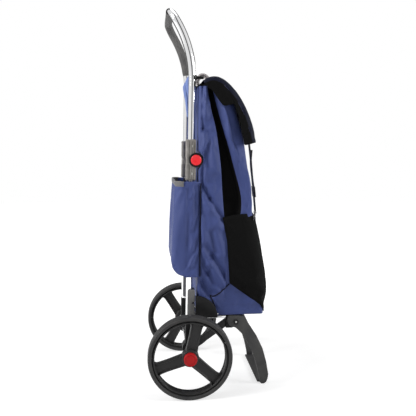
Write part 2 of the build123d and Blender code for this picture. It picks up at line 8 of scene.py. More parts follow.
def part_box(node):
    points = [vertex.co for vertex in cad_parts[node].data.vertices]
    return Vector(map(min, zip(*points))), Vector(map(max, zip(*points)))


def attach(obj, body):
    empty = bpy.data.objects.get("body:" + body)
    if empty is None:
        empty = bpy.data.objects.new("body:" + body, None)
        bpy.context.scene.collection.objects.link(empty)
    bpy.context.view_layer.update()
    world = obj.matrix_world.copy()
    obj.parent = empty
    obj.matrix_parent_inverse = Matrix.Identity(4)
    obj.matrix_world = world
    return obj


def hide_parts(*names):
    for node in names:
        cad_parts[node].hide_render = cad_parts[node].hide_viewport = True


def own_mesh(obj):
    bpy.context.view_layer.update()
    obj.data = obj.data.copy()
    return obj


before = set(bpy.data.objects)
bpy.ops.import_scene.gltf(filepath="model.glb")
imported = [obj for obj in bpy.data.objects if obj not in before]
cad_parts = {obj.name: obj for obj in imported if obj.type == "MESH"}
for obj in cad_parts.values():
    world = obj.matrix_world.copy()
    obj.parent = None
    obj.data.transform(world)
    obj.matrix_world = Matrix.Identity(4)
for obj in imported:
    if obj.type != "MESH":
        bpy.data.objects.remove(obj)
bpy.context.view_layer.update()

# Shopping trolley. Places are in millimetres from the point on the floor under the axle's middle,
# x to the bag's front, y to the left, z up, and spot() turns them into the frame's metres.
mm = 0.001
axleLow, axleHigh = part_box("axle")
axleX = (axleLow.x + axleHigh.x) / 2
axleZ = (axleLow.z + axleHigh.z) / 2 / mm
lean = radians(1.06)
sides = {"right": -1, "left": 1}
tubeY = 105
bagMiddle, bagLow = 110, 205.5


def spot(x, y, z):
    return Vector((axleX + x * mm, y * mm, z * mm))


def leaned(x, y, z):
    # a place on the upright tube frame, once the frame leans forward about the axle
    up = z - axleZ
    return spot(x * cos(lean) + up * sin(lean), y, axleZ + up * cos(lean) - x * sin(lean))


def addNode(tree, kind, inputs=None, **settings):
    # a node with its settings, and its sockets given a constant or linked to another node's output
    node = tree.nodes.new(kind)
    for key, value in settings.items():
        setattr(node, key, value)
    for socket, value in (inputs or {}).items():
        if isinstance(value, bpy.types.NodeSocket):
            tree.links.new(value, node.inputs[socket])
        else:
            node.inputs[socket].default_value = value
    return node


def mathNode(tree, kind, *values):
    return addNode(tree, "ShaderNodeMath", dict(enumerate(values)), operation=kind).outputs[0]


# ---- scene, camera and light ----

studio = {"camera": (-96.0, -1600.8, 636.5), "turn": 5.752, "down": 5.542, "lens": 48.83, "sensor": 36,
          "floor": 6.0, "glowNear": 0.62, "glowDull": 0.35, "glowFrom": 0.35, "glowTo": 1.5,
          "tentDull": 0.3, "tentGloss": 0.9}
# brightness of the tent, by the share of a half turn away from straight behind
tentStops = [(0.0, 0.95), (0.04, 0.95), (0.07, 0.02), (0.2, 0.02), (0.24, 0.9), (0.5, 1.0), (0.9, 0.9),
             (0.945, 0.06), (1.0, 0.05)]
# lamps: name, place, height aimed at, size, power
lamps = [("key", (-2.5, -0.95, 1.9), 0.5, 1.3, 72), ("fill", (2.6, -0.85, 1.3), 0.5, 1.1, 50),
         ("top", (0.3, 0.6, 2.8), 0.3, 1.8, 14)]


def makeCamera():
    data = bpy.data.cameras.new("camera")
    data.lens, data.sensor_width, data.clip_start = studio["lens"], studio["sensor"], 0.05
    cam = bpy.data.objects.new("camera", data)
    bpy.context.scene.collection.objects.link(cam)
    turn, down = radians(studio["turn"]), radians(studio["down"])
    ahead = Vector((sin(turn) * cos(down), cos(turn) * cos(down), -sin(down)))
    cam.location = spot(*studio["camera"])
    cam.rotation_euler = ahead.to_track_quat("-Z", "Y").to_euler()
    bpy.context.scene.camera = cam


def makeLight(name, place, height, size, power):
    data = bpy.data.lights.new(name, "AREA")
    data.shape, data.size, data.energy = "DISK", size, power
    lamp = bpy.data.objects.new(name, data)
    bpy.context.scene.collection.objects.link(lamp)
    lamp.location = place
    lamp.rotation_euler = (Vector((0, 0, height)) - Vector(place)).to_track_quat("-Z", "Y").to_euler()


def makeWorld():
    # white tent: bright all round, with dark gaps that draw the edges of the chrome
    world = bpy.data.worlds.new("tent")
    bpy.context.scene.world = world
    world.use_nodes = True
    tree = world.node_tree
    tree.nodes.clear()
    place = addNode(tree, "ShaderNodeTexCoord")
    split = addNode(tree, "ShaderNodeSeparateXYZ", {0: place.outputs["Generated"]})
    turn = mathNode(tree, "ARCTAN2", split.outputs["X"], split.outputs["Y"])
    ramp = addNode(tree, "ShaderNodeValToRGB", {0: mathNode(tree, "DIVIDE", mathNode(tree, "ABSOLUTE", turn), pi)})
    bar = ramp.color_ramp.elements
    for element, (at, grey) in ((bar[0], tentStops[0]), (bar[1], tentStops[-1])):
        element.position, element.color = at, [grey] * 3 + [1]
    for at, grey in tentStops[1:-1]:
        bar.new(at).color = [grey] * 3 + [1]
    seen = addNode(tree, "ShaderNodeLightPath")
    power = addNode(tree, "ShaderNodeMapRange", {0: seen.outputs["Is Glossy Ray"], 3: studio["tentDull"],
                                                 4: studio["tentGloss"]})
    dome = addNode(tree, "ShaderNodeBackground", {0: ramp.outputs[0], 1: power.outputs[0]})
    glowingPaper = addNode(tree, "ShaderNodeBackground", {0: (1, 1, 1, 1)})
    mix = addNode(tree, "ShaderNodeMixShader", {0: seen.outputs["Is Camera Ray"], 1: dome.outputs[0],
                                                2: glowingPaper.outputs[0]})
    addNode(tree, "ShaderNodeOutputWorld", {0: mix.outputs[0]})


def makeFloor():
    bm = bmesh.new()
    bmesh.ops.create_circle(bm, cap_ends=True, segments=96, radius=studio["floor"])
    mesh = bpy.data.meshes.new("floor")
    bm.to_mesh(mesh)
    floor = bpy.data.objects.new("floor", mesh)
    bpy.context.scene.collection.objects.link(floor)
    floor.location.z = -0.0004
    glowingPaper = bpy.data.materials.new("glowingPaper")
    glowingPaper.use_nodes = True
    tree = glowingPaper.node_tree
    shader = tree.nodes["Principled BSDF"]
    place = addNode(tree, "ShaderNodeTexCoord")
    reach = addNode(tree, "ShaderNodeVectorMath", {0: place.outputs["Object"]}, operation="LENGTH")
    # the floor glows, a painted light: its glow is weakest near the trolley, full from 1.5 m out, and weaker still on
    # diffuse bounces
    glow = addNode(tree, "ShaderNodeMapRange", {
        0: reach.outputs["Value"], 1: studio["glowFrom"], 2: studio["glowTo"], 3: studio["glowNear"], 4: 1.0})
    ray = addNode(tree, "ShaderNodeLightPath")
    spare = addNode(tree, "ShaderNodeMapRange", {0: ray.outputs["Is Diffuse Ray"], 3: 1.0, 4: studio["glowDull"]})
    shader.inputs["Base Color"].default_value = (0.55, 0.55, 0.55, 1)
    shader.inputs["Roughness"].default_value = 0.7
    shader.inputs["Specular IOR Level"].default_value = 0.1
    tree.links.new(glow.outputs[0], shader.inputs["Emission Color"])
    tree.links.new(spare.outputs[0], shader.inputs["Emission Strength"])
    mesh.materials.append(glowingPaper)


bpy.context.scene.view_settings.view_transform = "Standard"
makeCamera()
makeWorld()
makeFloor()
for lamp in lamps:
    makeLight(*lamp)
print("studio ready")

# ---- shader groups ----


def newGroup(name, inputs, outputs):
    tree = bpy.data.node_groups.new(name, "ShaderNodeTree")
    for socket, value in inputs:
        item = tree.interface.new_socket(name=socket, in_out="INPUT", socket_type="NodeSocketFloat")
        item.default_value = value
    for socket in outputs:
        tree.interface.new_socket(name=socket, in_out="OUTPUT", socket_type="NodeSocketFloat")
    place = addNode(tree, "ShaderNodeTexCoord").outputs["Object"]
    return tree, tree.nodes.new("NodeGroupInput").outputs, place


def weaveGroup():
    # plain weave: threads along x + y and along z, with a slow change of shade
    tree, given, place = newGroup("clothWeave", [("Threads", 900.0), ("Wrinkle", 12.0)], ["Height", "Shade"])
    split = addNode(tree, "ShaderNodeSeparateXYZ", {0: place}).outputs
    across = mathNode(tree, "ADD", split["X"], split["Y"])
    tilt = mathNode(tree, "MULTIPLY", mathNode(tree, "SUBTRACT", split["X"], split["Y"]), 0.35)
    along = mathNode(tree, "ADD", split["Z"], tilt)
    threads = mathNode(tree, "MULTIPLY", given["Threads"], 2 * pi)
    warp, weft = (mathNode(tree, "SINE", mathNode(tree, "MULTIPLY", way, threads)) for way in (across, along))
    weave = mathNode(tree, "MULTIPLY", warp, weft)
    crumple = addNode(tree, "ShaderNodeTexNoise", {"Vector": place, "Scale": given["Wrinkle"], "Detail": 3})
    cloud = addNode(tree, "ShaderNodeTexNoise", {"Vector": place, "Scale": 7})
    addNode(tree, "NodeGroupOutput", {
        "Height": mathNode(tree, "ADD", mathNode(tree, "MULTIPLY", weave, 0.06), crumple.outputs[0]),
        "Shade": mathNode(tree, "ADD", mathNode(tree, "MULTIPLY", weave, 0.12), cloud.outputs[0])})
    return tree


def grainGroup():
    # moulded grain: fine spark-eroded texture, with dust and scuffs
    tree, given, place = newGroup("mouldGrain", [("Grain", 900.0), ("Scuffs", 25.0)], ["Height", "Wear"])
    fine = addNode(tree, "ShaderNodeTexNoise", {"Vector": place, "Scale": given["Grain"], "Detail": 2})
    broad = addNode(tree, "ShaderNodeTexNoise", {"Vector": place, "Scale": given["Scuffs"], "Detail": 6,
                                                 "Roughness": 0.7})
    wear = addNode(tree, "ShaderNodeMapRange", {0: broad.outputs[0], 1: 0.35, 2: 0.75})
    addNode(tree, "NodeGroupOutput", {"Height": fine.outputs[0], "Wear": wear.outputs[0]})
    return tree


weave, grain = weaveGroup(), grainGroup()


def shaded(name, group, low, high, rough, bump, distance, values, shader):
    # colour and roughness run between two values by the group's second output, with its bump
    mat = bpy.data.materials.new(name)
    mat.use_nodes = True
    tree = mat.node_tree
    bsdf = tree.nodes["Principled BSDF"]
    pattern = addNode(tree, "ShaderNodeGroup", node_tree=group)
    for socket, value in values.items():
        pattern.inputs[socket].default_value = value
    ramp = addNode(tree, "ShaderNodeValToRGB", {0: pattern.outputs[1]})
    ramp.color_ramp.elements[0].color = (*low, 1)
    ramp.color_ramp.elements[1].color = (*high, 1)
    worn = addNode(tree, "ShaderNodeMapRange", {0: pattern.outputs[1], 3: rough[0], 4: rough[1]})
    lump = addNode(tree, "ShaderNodeBump", {"Strength": bump, "Distance": distance,
                                            "Height": pattern.outputs["Height"]})
    for socket, out in (("Base Color", ramp), ("Roughness", worn), ("Normal", lump)):
        tree.links.new(out.outputs[0], bsdf.inputs[socket])
    for socket, value in shader.items():
        bsdf.inputs[socket.replace("_", " ")].default_value = value
    return mat


def cloth(name, low, high, roughness=0.62, wrinkle=14.0, threads=900.0, bump=0.35, sheen=0.25, **shader):
    return shaded(name, weave, low, high, (roughness - 0.08, roughness + 0.08), bump, 0.004,
                  {"Threads": threads, "Wrinkle": wrinkle}, {"Sheen_Weight": sheen, **shader})


def moulded(name, low, high, roughness=0.5, bump=0.25, **shader):
    return shaded(name, grain, low, high, (roughness - 0.1, roughness + 0.12), bump, 0.0004, {},
                  {"Specular_IOR_Level": 0.3, **shader})


mats = {
    "blue": cloth("blueCloth", (0.036, 0.054, 0.17), (0.064, 0.088, 0.255), 0.5, sheen=0.05,
                  Specular_IOR_Level=0.2),
    # painted light: the bag's own blue cloth, painted paler for the light that falls on the hanging tabs
    "paleBlue": cloth("paintedLitBlueCloth", (0.13, 0.19, 0.44), (0.19, 0.26, 0.55), 0.5, sheen=0.05,
                      Specular_IOR_Level=0.2),
    "navy": cloth("navyCloth", (0.0045, 0.0052, 0.013), (0.009, 0.0105, 0.026), 0.5, sheen=0.0,
                  Specular_IOR_Level=0.1),
    "black": cloth("blackCloth", (0.0035, 0.0035, 0.0036), (0.007, 0.007, 0.007), 0.8, sheen=0.0,
                   Specular_IOR_Level=0.06),
    "webbing": cloth("webbing", (0.01, 0.01, 0.011), (0.03, 0.03, 0.032), 0.7, threads=450.0, bump=0.7),
    "binding": cloth("greyBinding", (0.1, 0.098, 0.095), (0.17, 0.165, 0.16), 0.7, threads=600.0, bump=0.6),
    "cord": cloth("braidedCord", (0.12, 0.08, 0.08), (0.75, 0.72, 0.72), 0.7, threads=300.0, bump=0.8),
    "thread": cloth("stitching", (0.03, 0.04, 0.13), (0.07, 0.085, 0.25), 0.6),
    "tyre": moulded("tyreRubber", (0.024, 0.024, 0.025), (0.054, 0.053, 0.052), 0.6),
    "wheel": moulded("wheelPlastic", (0.012, 0.012, 0.0125), (0.024, 0.0235, 0.0235), 0.46),
    "black plastic": moulded("blackPlastic", (0.004, 0.004, 0.0045), (0.013, 0.013, 0.0135), 0.42,
                             Specular_IOR_Level=0.2),
    "stand": moulded("standPlastic", (0.035, 0.035, 0.036), (0.07, 0.069, 0.067)),
    "hinge": moulded("hingePlastic", (0.2, 0.188, 0.176), (0.38, 0.36, 0.34), 0.45),
    "clamp": moulded("clampPlastic", (0.125, 0.125, 0.125), (0.19, 0.19, 0.19)),
    "grip": moulded("gripRubber", (0.08, 0.078, 0.077), (0.14, 0.137, 0.134), 0.6, bump=0.5),
    "red": moulded("redPlastic", (0.9, 0.03, 0.04), (0.98, 0.045, 0.055), 0.35, Coat_Weight=0.1),
    "cap red": moulded("capPlastic", (0.38, 0.006, 0.008), (0.5, 0.01, 0.012), 0.4, Specular_IOR_Level=0.2),
    # white nylon for the wheel bushes; on the steel rivets the white is a painted highlight for their glint
    "white": moulded("whiteNylonAndPaintedGlint", (0.6, 0.6, 0.58), (0.75, 0.75, 0.73), 0.4),
    "paint": moulded("powderCoat", (0.012, 0.012, 0.013), (0.03, 0.03, 0.031), 0.4, bump=0.4),
    "board": moulded("boardPlastic", (0.03, 0.03, 0.03), (0.05, 0.05, 0.05), 0.6),
    "chrome": moulded("polishedTube", (0.82, 0.82, 0.83), (0.9, 0.9, 0.9), 0.1, bump=0.01, Metallic=1.0),
    "steel": moulded("satinSteel", (0.5, 0.5, 0.51), (0.66, 0.66, 0.67), 0.28, bump=0.08, Metallic=1.0),
}
print("materials ready")

# finish of each CAD node; a name that ends in _ stands for its left and right
nodeFinish = {
    "chrome": "lower_tube_ tray_rail_ tray_cross_rods hanger_bar handle_tube",
    "steel": "axle axle_spacers axle_clips hinge_pins button_springs snap_hook pocket_ring",
    "paint": "strut_", "hinge": "lower_knuckle_ upper_knuckle_", "clamp": "frame_clamp_",
    "black plastic": "axle_leg_ tray_cheek_ stand_bracket_ hook_ knob_ring_ strap_slider foot_pads stand_pins",
    # the rivets are painted white: a painted highlight for the glint on their steel heads
    "white": "wheel_bush_ lower_rivets upper_rivets", "board": "base_board", "grip": "handle_grip",
    "stand": "stand_leg_ stand_foot", "red": "release_button_", "cap red": "wheel_cap_",
    "wheel": "wheel_rim_", "tyre": "tyre_", "blue": "bag_shell rear_pocket", "paleBlue": "hang_straps",
    "navy": "flap", "black": "front_pocket", "webbing": "closing_strap", "binding": "pocket_rim",
    "cord": "flap_loops",
}
for finish, names in nodeFinish.items():
    for name in [n + end for n in names.split() for end in (sides if n.endswith("_") else ("",))]:
        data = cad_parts[name].data
        data.materials.clear()
        data.materials.append(mats[finish])

# ---- helpers for pieces ----


def makePiece(name, mesh, finish, body, nodes=(), smooth=True):
    # a mesh in the scene as a piece that rides on a body and stands for some nodes
    piece = bpy.data.objects.new(name, mesh)
    bpy.context.scene.collection.objects.link(piece)
    for one in [finish] if isinstance(finish, str) else finish:
        mesh.materials.append(mats[one])
    for face in mesh.polygons:
        face.use_smooth = smooth
    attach(piece, body)
    if nodes:
        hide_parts(*nodes)
    return piece


def gridMesh(name, rows, ring=False, shade=None):
    # quads over rows of points; ring joins the last column to the first
    high, wide = len(rows), len(rows[0])
    mesh = bpy.data.meshes.new(name)
    verts = [p for row in rows for p in row]
    faces = []
    for j in range(high - 1):
        for i in range(wide if ring else wide - 1):
            k = (i + 1) % wide
            faces.append((j * wide + i, j * wide + k, (j + 1) * wide + k, (j + 1) * wide + i))
    mesh.from_pydata(verts, [], faces)
    if shade:
        for n, face in enumerate(mesh.polygons):
            across = wide if ring else wide - 1
            face.material_index = shade(n // across, n % across)
    return mesh


def angles(count):
    return [2 * pi * k / count for k in range(count)]


def spun(name, outline, centre, out, turns):
    # a closed outline of (radius, depth) spun about the line through centre along out
    out = Vector(out).normalized()
    a = out.orthogonal().normalized()
    b = out.cross(a)
    rows = [[centre + out * depth * mm + (a * cos(t) + b * sin(t)) * r * mm for t in angles(turns)]
            for r, depth in outline]
    mesh = gridMesh(name, rows, ring=True)
    cleanUp(mesh)
    return mesh


def lathe(name, outline, centre, out, finish, body, nodes=(), turns=64):
    return makePiece(name, spun(name, outline, centre, out, turns), finish, body, nodes)


def cleanUp(mesh, distance=0.00001):
    bm = bmesh.new()
    bm.from_mesh(mesh)
    if distance:
        bmesh.ops.remove_doubles(bm, verts=bm.verts, dist=distance)
    bmesh.ops.recalc_face_normals(bm, faces=bm.faces)
    bm.to_mesh(mesh)
    bm.free()


def capEnds(mesh, across):
    # close both ends of a tube of rings
    bm = bmesh.new()
    bm.from_mesh(mesh)
    bm.verts.ensure_lookup_table()
    for first in (0, len(bm.verts) - across):
        bm.faces.new([bm.verts[first + k] for k in range(across)])
    bmesh.ops.recalc_face_normals(bm, faces=bm.faces)
    bm.to_mesh(mesh)
    bm.free()
    return mesh


def tubeMesh(name, path, radius, sides=10, closed=False):
    # round tube along points, with closed ends
    rows, turned = [], None
    count = len(path)
    for i, p in enumerate(path):
        ahead = path[(i + 1) % count] if closed or i < count - 1 else p
        behind = path[i - 1] if closed or i > 0 else p
        along = (ahead - behind).normalized()
        if turned is None:
            turned = along.orthogonal().normalized()
        turned = (turned - along * turned.dot(along)).normalized()
        side = along.cross(turned)
        size = radius(i / (count - 1)) if callable(radius) else radius
        rows.append([p + (turned * cos(t) + side * sin(t)) * size for t in angles(sides)])
    if closed:
        rows.append(rows[0])
    mesh = gridMesh(name, rows, ring=True)
    if not closed:
        capEnds(mesh, sides)
    cleanUp(mesh)
    return mesh


def curveThrough(points, steps=8):
    # smooth path through a few places
    pts = [Vector(p) for p in points]
    pts = [pts[0] * 2 - pts[1]] + pts + [pts[-1] * 2 - pts[-2]]
    path = []
    for i in range(1, len(pts) - 2):
        a, b, c, d = pts[i - 1:i + 3]
        for k in range(steps):
            t = k / steps
            path.append(0.5 * ((2 * b) + (c - a) * t + (2 * a - 5 * b + 4 * c - d) * t * t
                               + (3 * b - a - 3 * c + d) * t ** 3))
    return path + [pts[-2]]


def between(rows, z, column=1):
    # value at a height, from rows that start with a height, without a kink at the rows
    heights = [r[0] for r in rows]
    values = [r[column] for r in rows]
    return float(np.mean([np.interp(z + d, heights, values) for d in (-14, -7, 0, 7, 14)]))


def step(low, high, x):
    t = min(max((x - low) / (high - low), 0), 1)
    return t * t * (3 - 2 * t)


def finishMesh(piece, *modifiers):
    # add modifiers to a piece and make their result its mesh
    for kind, values in modifiers:
        mod = piece.modifiers.new(kind.lower(), kind)
        for key, value in values.items():
            setattr(mod, key, value)
    graph = bpy.context.evaluated_depsgraph_get()
    mesh = bpy.data.meshes.new_from_object(piece.evaluated_get(graph), depsgraph=graph)
    piece.modifiers.clear()
    piece.data = mesh
    for face in mesh.polygons:
        face.use_smooth = True
    return piece


def thickened(piece, thickness, offset=-1.0):
    # cloth with its thickness and a finer surface
    return finishMesh(piece, ("SOLIDIFY", {"thickness": thickness * mm, "offset": offset}),
                      ("SUBSURF", {"levels": 1, "render_levels": 1}))


def settle(piece, held, frames, pressure, grow, cap):
    # let the cloth wrinkle between its held points, then keep the result
    base = np.array([v.co for v in piece.data.vertices])
    group = piece.vertex_groups.new(name="held")
    for index, weight in enumerate(held):
        if weight > 0:
            group.add([index], weight, "REPLACE")
    mod = piece.modifiers.new("cloth", "CLOTH")
    cloth = mod.settings
    cloth.quality, cloth.mass = 6, 0.15
    cloth.tension_stiffness = cloth.compression_stiffness = 18
    cloth.shear_stiffness, cloth.bending_stiffness = 8, 0.4
    cloth.use_pressure, cloth.uniform_pressure_force = True, pressure
    cloth.shrink_min = -grow
    cloth.vertex_group_mass, cloth.pin_stiffness = "held", 2.0
    cloth.effector_weights.gravity = 0.0
    mod.point_cache.frame_start, mod.point_cache.frame_end = 1, frames
    for frameNumber in range(1, frames + 1):
        bpy.context.scene.frame_set(frameNumber)
    graph = bpy.context.evaluated_depsgraph_get()
    moved = np.array([v.co for v in piece.evaluated_get(graph).data.vertices]) - base
    reach = np.linalg.norm(moved, axis=1, keepdims=True)
    moved *= np.minimum(1, cap * mm / np.maximum(reach, 1e-9))
    piece.modifiers.clear()
    piece.vertex_groups.clear()
    piece.data.vertices.foreach_set("co", (base + moved).ravel())
    piece.data.update()
    bpy.context.scene.frame_set(1)


def joined(name, meshes):
    # one mesh out of several, with each one's material kept by index
    bm = bmesh.new()
    for mesh in meshes:
        bm.from_mesh(mesh)
    out = bpy.data.meshes.new(name)
    bm.to_mesh(out)
    bm.free()
    return out


def slab(x0, x1, y0, y1, z0, z1, place=spot):
    # box between two corners, for joining into a moulding before it is remeshed
    corners = [place(x, y, z) for x in (x0, x1) for y in (y0, y1) for z in (z0, z1)]
    faces = [(0, 1, 3, 2), (4, 6, 7, 5), (0, 4, 5, 1), (2, 3, 7, 6), (0, 2, 6, 4), (1, 5, 7, 3)]
    mesh = bpy.data.meshes.new("slab")
    mesh.from_pydata(corners, [], faces)
    cleanUp(mesh)
    return mesh


def remeshed(piece, voxel, smoothing=4):
    return finishMesh(
        piece, ("REMESH", {"mode": "VOXEL", "voxel_size": voxel * mm, "use_smooth_shade": True}),
        ("SMOOTH", {"factor": 0.5, "iterations": smoothing}))


def mouldedFrom(name, node, finish, body, voxel=0.9, smoothing=4, extra=()):
    # moulding with softened edges, from a CAD node's own shape and any added blocks
    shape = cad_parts[node].data.copy()
    shape.materials.clear()
    cleanUp(shape)
    mesh = joined(name, [shape, *extra])
    piece = makePiece(name, mesh, finish, body, [node])
    return remeshed(piece, voxel, smoothing)


# ---- geometry nodes ----


def repeatTree():
    # small beads set along a path at an even pitch: stitches, ribs and zip teeth
    tree = bpy.data.node_groups.new("beadsAlongPath", "GeometryNodeTree")
    for socket, kind, value in (
            ("Geometry", "Geometry", None), ("Pitch", "Float", 0.003), ("Size", "Vector", (0.001, 0.0005, 0.0005)),
            ("Rings", "Int", 4), ("Segments", "Int", 6), ("Jitter", "Float", 0.04), ("Material", "Material", None)):
        item = tree.interface.new_socket(name=socket, in_out="INPUT", socket_type="NodeSocket" + kind)
        if value is not None:
            item.default_value = value
    tree.interface.new_socket(name="Geometry", in_out="OUTPUT", socket_type="NodeSocketGeometry")
    given = tree.nodes.new("NodeGroupInput").outputs
    curve = addNode(tree, "GeometryNodeMeshToCurve", {"Mesh": given["Geometry"]})
    even = addNode(tree, "GeometryNodeResampleCurve", mode="LENGTH")
    tree.links.new(curve.outputs[0], even.inputs["Curve"])
    tree.links.new(given["Pitch"], even.inputs["Length"])
    tangent = addNode(tree, "GeometryNodeInputTangent")
    turn = addNode(tree, "FunctionNodeAlignRotationToVector", {"Vector": tangent.outputs[0]}, axis="X")
    bead = addNode(tree, "GeometryNodeMeshUVSphere", {
        "Radius": 1, "Rings": given["Rings"], "Segments": given["Segments"]})
    random = addNode(tree, "FunctionNodeRandomValue", {"Seed": 7, 3: given["Jitter"]})
    grow = mathNode(tree, "ADD", random.outputs[1], 1)
    size = addNode(tree, "ShaderNodeVectorMath", {0: given["Size"], "Scale": grow}, operation="SCALE")
    put = addNode(tree, "GeometryNodeInstanceOnPoints", {
        "Points": even.outputs[0], "Instance": bead.outputs["Mesh"], "Rotation": turn.outputs[0],
        "Scale": size.outputs[0]})
    real = addNode(tree, "GeometryNodeRealizeInstances", {0: put.outputs[0]})
    paint = addNode(tree, "GeometryNodeSetMaterial", {0: real.outputs[0], "Material": given["Material"]})
    addNode(tree, "NodeGroupOutput", {0: paint.outputs[0]})
    return tree


beadTree = repeatTree()


def beads(name, paths, finish, body, pitch, size, jitter=0.04):
    # beads along one or more paths, as one piece
    guide = bpy.data.meshes.new(name)
    points = [p for path in paths for p in path]
    edges, start = [], 0
    for path in paths:
        edges += [(start + k, start + k + 1) for k in range(len(path) - 1)]
        start += len(path)
    guide.from_pydata(points, edges, [])
    holder = bpy.data.objects.new(name + "Guide", guide)
    bpy.context.scene.collection.objects.link(holder)
    mod = holder.modifiers.new("beads", "NODES")
    mod.node_group = beadTree
    wanted = {"Pitch": pitch * mm, "Size": [v * mm for v in size], "Jitter": jitter, "Material": mats[finish]}
    for item in beadTree.interface.items_tree:
        if item.in_out == "INPUT" and item.name in wanted:
            mod[item.identifier] = wanted[item.name]
    graph = bpy.context.evaluated_depsgraph_get()
    mesh = bpy.data.meshes.new_from_object(holder.evaluated_get(graph), depsgraph=graph)
    bpy.data.objects.remove(holder)
    piece = bpy.data.objects.new(name, mesh)
    bpy.context.scene.collection.objects.link(piece)
    for face in mesh.polygons:
        face.use_smooth = True
    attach(piece, body)
    return piece


# ---- bag ----

bag = {"levels": [(bagLow, 24, 206, 112), (270, 24, 207, 120), (320, 24, 202, 127), (380, 25, 191, 131),
                  (479, 25.5, 173, 132), (657, 27, 146, 126), (765, 28.5, 121, 120), (813, 29.5, 92, 114)],
       "rearCorner": 11, "sag": 7.0, "pleatLow": 440, "rows": 104, "cloth": 1.6,
       "pleatBack": [(430, 98), (480, 93), (540, 89), (598, 86), (654, 80), (711, 71), (739, 63), (783, 54),
                     (813, 50)],
       "pleatFront": [(430, 128), (470, 143), (509, 147), (540, 142), (569, 134), (612, 122), (654, 111), (694, 99),
                      (739, 86), (786, 74), (813, 68)],
       "pleatDepth": [(425, 0), (470, 12), (510, 28), (700, 34), (813, 26)],
       "hinge": (619, 20.5, 21.4)}

# folds in the side panels: from, to (x, z), height and half width
sideFolds = [
    (33, 562, 58, 519, -6.0, 5), (58, 519, 90, 464, -5.5, 6), (28, 546, 60, 488, 4.5, 8), (60, 488, 84, 440, 3.0, 9),
    (46, 505, 58, 440, 3.0, 7), (44, 394, 66, 365, -5.0, 6), (66, 365, 112, 288, -6.0, 7),
    (38, 380, 58, 345, 4.0, 7), (58, 345, 96, 284, 5.0, 9), (31, 352, 54, 318, -4.5, 5),
    (54, 318, 68, 288, -5.0, 6), (33, 294, 60, 258, -7.5, 8), (50, 305, 82, 266, 3.5, 7),
    (36, 808, 33, 756, -7.0, 6), (33, 756, 36, 700, -5.0, 7), (48, 802, 46, 735, 4.5, 8),
    (36, 704, 60, 690, -3.5, 7), (44, 690, 38, 612, 4.0, 8), (44, 640, 32, 541, -5.5, 6),
    (62, 700, 74, 590, 3.5, 10), (58, 590, 66, 500, 3.0, 9), (66, 804, 60, 764, 4.0, 6),
    (97, 752, 112, 640, 3.0, 8), (112, 640, 136, 540, 3.5, 7), (128, 610, 152, 496, -3.0, 6),
    (34, 470, 42, 396, 4.0, 6), (72, 450, 88, 370, 3.0, 9), (60, 430, 74, 372, -3.5, 6),
    (150, 610, 164, 520, 2.5, 6), (30, 700, 26, 560, -3.0, 6), (52, 660, 56, 560, -2.5, 6),
]
gussetSeam = [(111, 287), (93, 270), (70, 253), (60, 253), (66, 240), (73, 222), (75, 207)]


def foldHeight(x, z, folds):
    total = 0.0
    for x0, z0, x1, z1, height, width in folds:
        run = Vector((x1 - x0, z1 - z0))
        t = min(max(((x - x0) * run.x + (z - z0) * run.y) / run.length_squared, 0), 1)
        away = math.hypot(x - x0 - run.x * t, z - z0 - run.y * t)
        if away < 3 * width:
            total += height * math.exp(-(away / width) ** 2)
    return total


def frontCorner(z):
    return float(np.interp(z, [205, 290, 400], [9, 18, 28]))


def bagSection(z):
    # half of the bag's outline at a height, from the back's middle to the front's: (x, y, part)
    back, front, half = (between(bag["levels"], z, k) for k in (1, 2, 3))
    left, right = between(bag["pleatBack"], z), between(bag["pleatFront"], z)
    depth = between(bag["pleatDepth"], z)
    r = bag["rearCorner"]
    corner = max(6, min(frontCorner(z), front - right - 14))
    line = [(back, (half - r) * k / 14, "back") for k in range(14)]
    line += [(back + r - r * cos(a), half - r + r * sin(a), "back") for a in (pi / 2 * k / 5 for k in range(5))]
    start = back + r
    line += [(start + (left - start) * k / 13, half, "side") for k in range(14)]
    opened = step(0, 12, depth)
    fold = [(1.6, 0.1), (1.0, 0.28), (-1.5, 0.55), (-2.5, 0.85)]
    line += [(left + dx * opened + (1 - opened) * 1.2 * (k + 1), half - depth * share,
              "lip" if k == 0 else "pleat") for k, (dx, share) in enumerate(fold)]
    floor0, floor1 = left + 5 * (1 - opened), right - 12
    line += [(floor0 + (floor1 - floor0) * k / 5, half - depth, "pleat") for k in range(1, 5)]
    roll = [(-11, 0.99), (-9, 0.86), (-7, 0.62), (-4, 0.36), (1, 0.14), (7, 0.02)]
    line += [(right + dx, half - depth * share, "pleat" if k < 4 else "roll")
             for k, (dx, share) in enumerate(roll)]
    start, end = right + 7, front - corner
    line += [(start + (end - start) * k / 7, half, "front side") for k in range(1, 7)]
    line += [(front - corner + corner * sin(a), half - corner + corner * cos(a), "corner")
             for a in (pi / 2 * k / 7 for k in range(8))]
    line += [(front, (half - corner) * (1 - k / 13), "front") for k in range(1, 14)]
    return line


def clearOfHinge(x, y, z):
    # push the bag's back corner forward, out of the knuckle's and knob's way
    middle, reach, knobX = bag["hinge"]
    away = abs(z - middle)
    near = step(78, 90, abs(y))
    x += max(0, 27.5 - x) * (1 - step(58, 74, away)) * near
    front = knobX + math.sqrt(max(0, reach ** 2 - away ** 2)) if away < reach else 0
    return x + max(0, front - x) * near


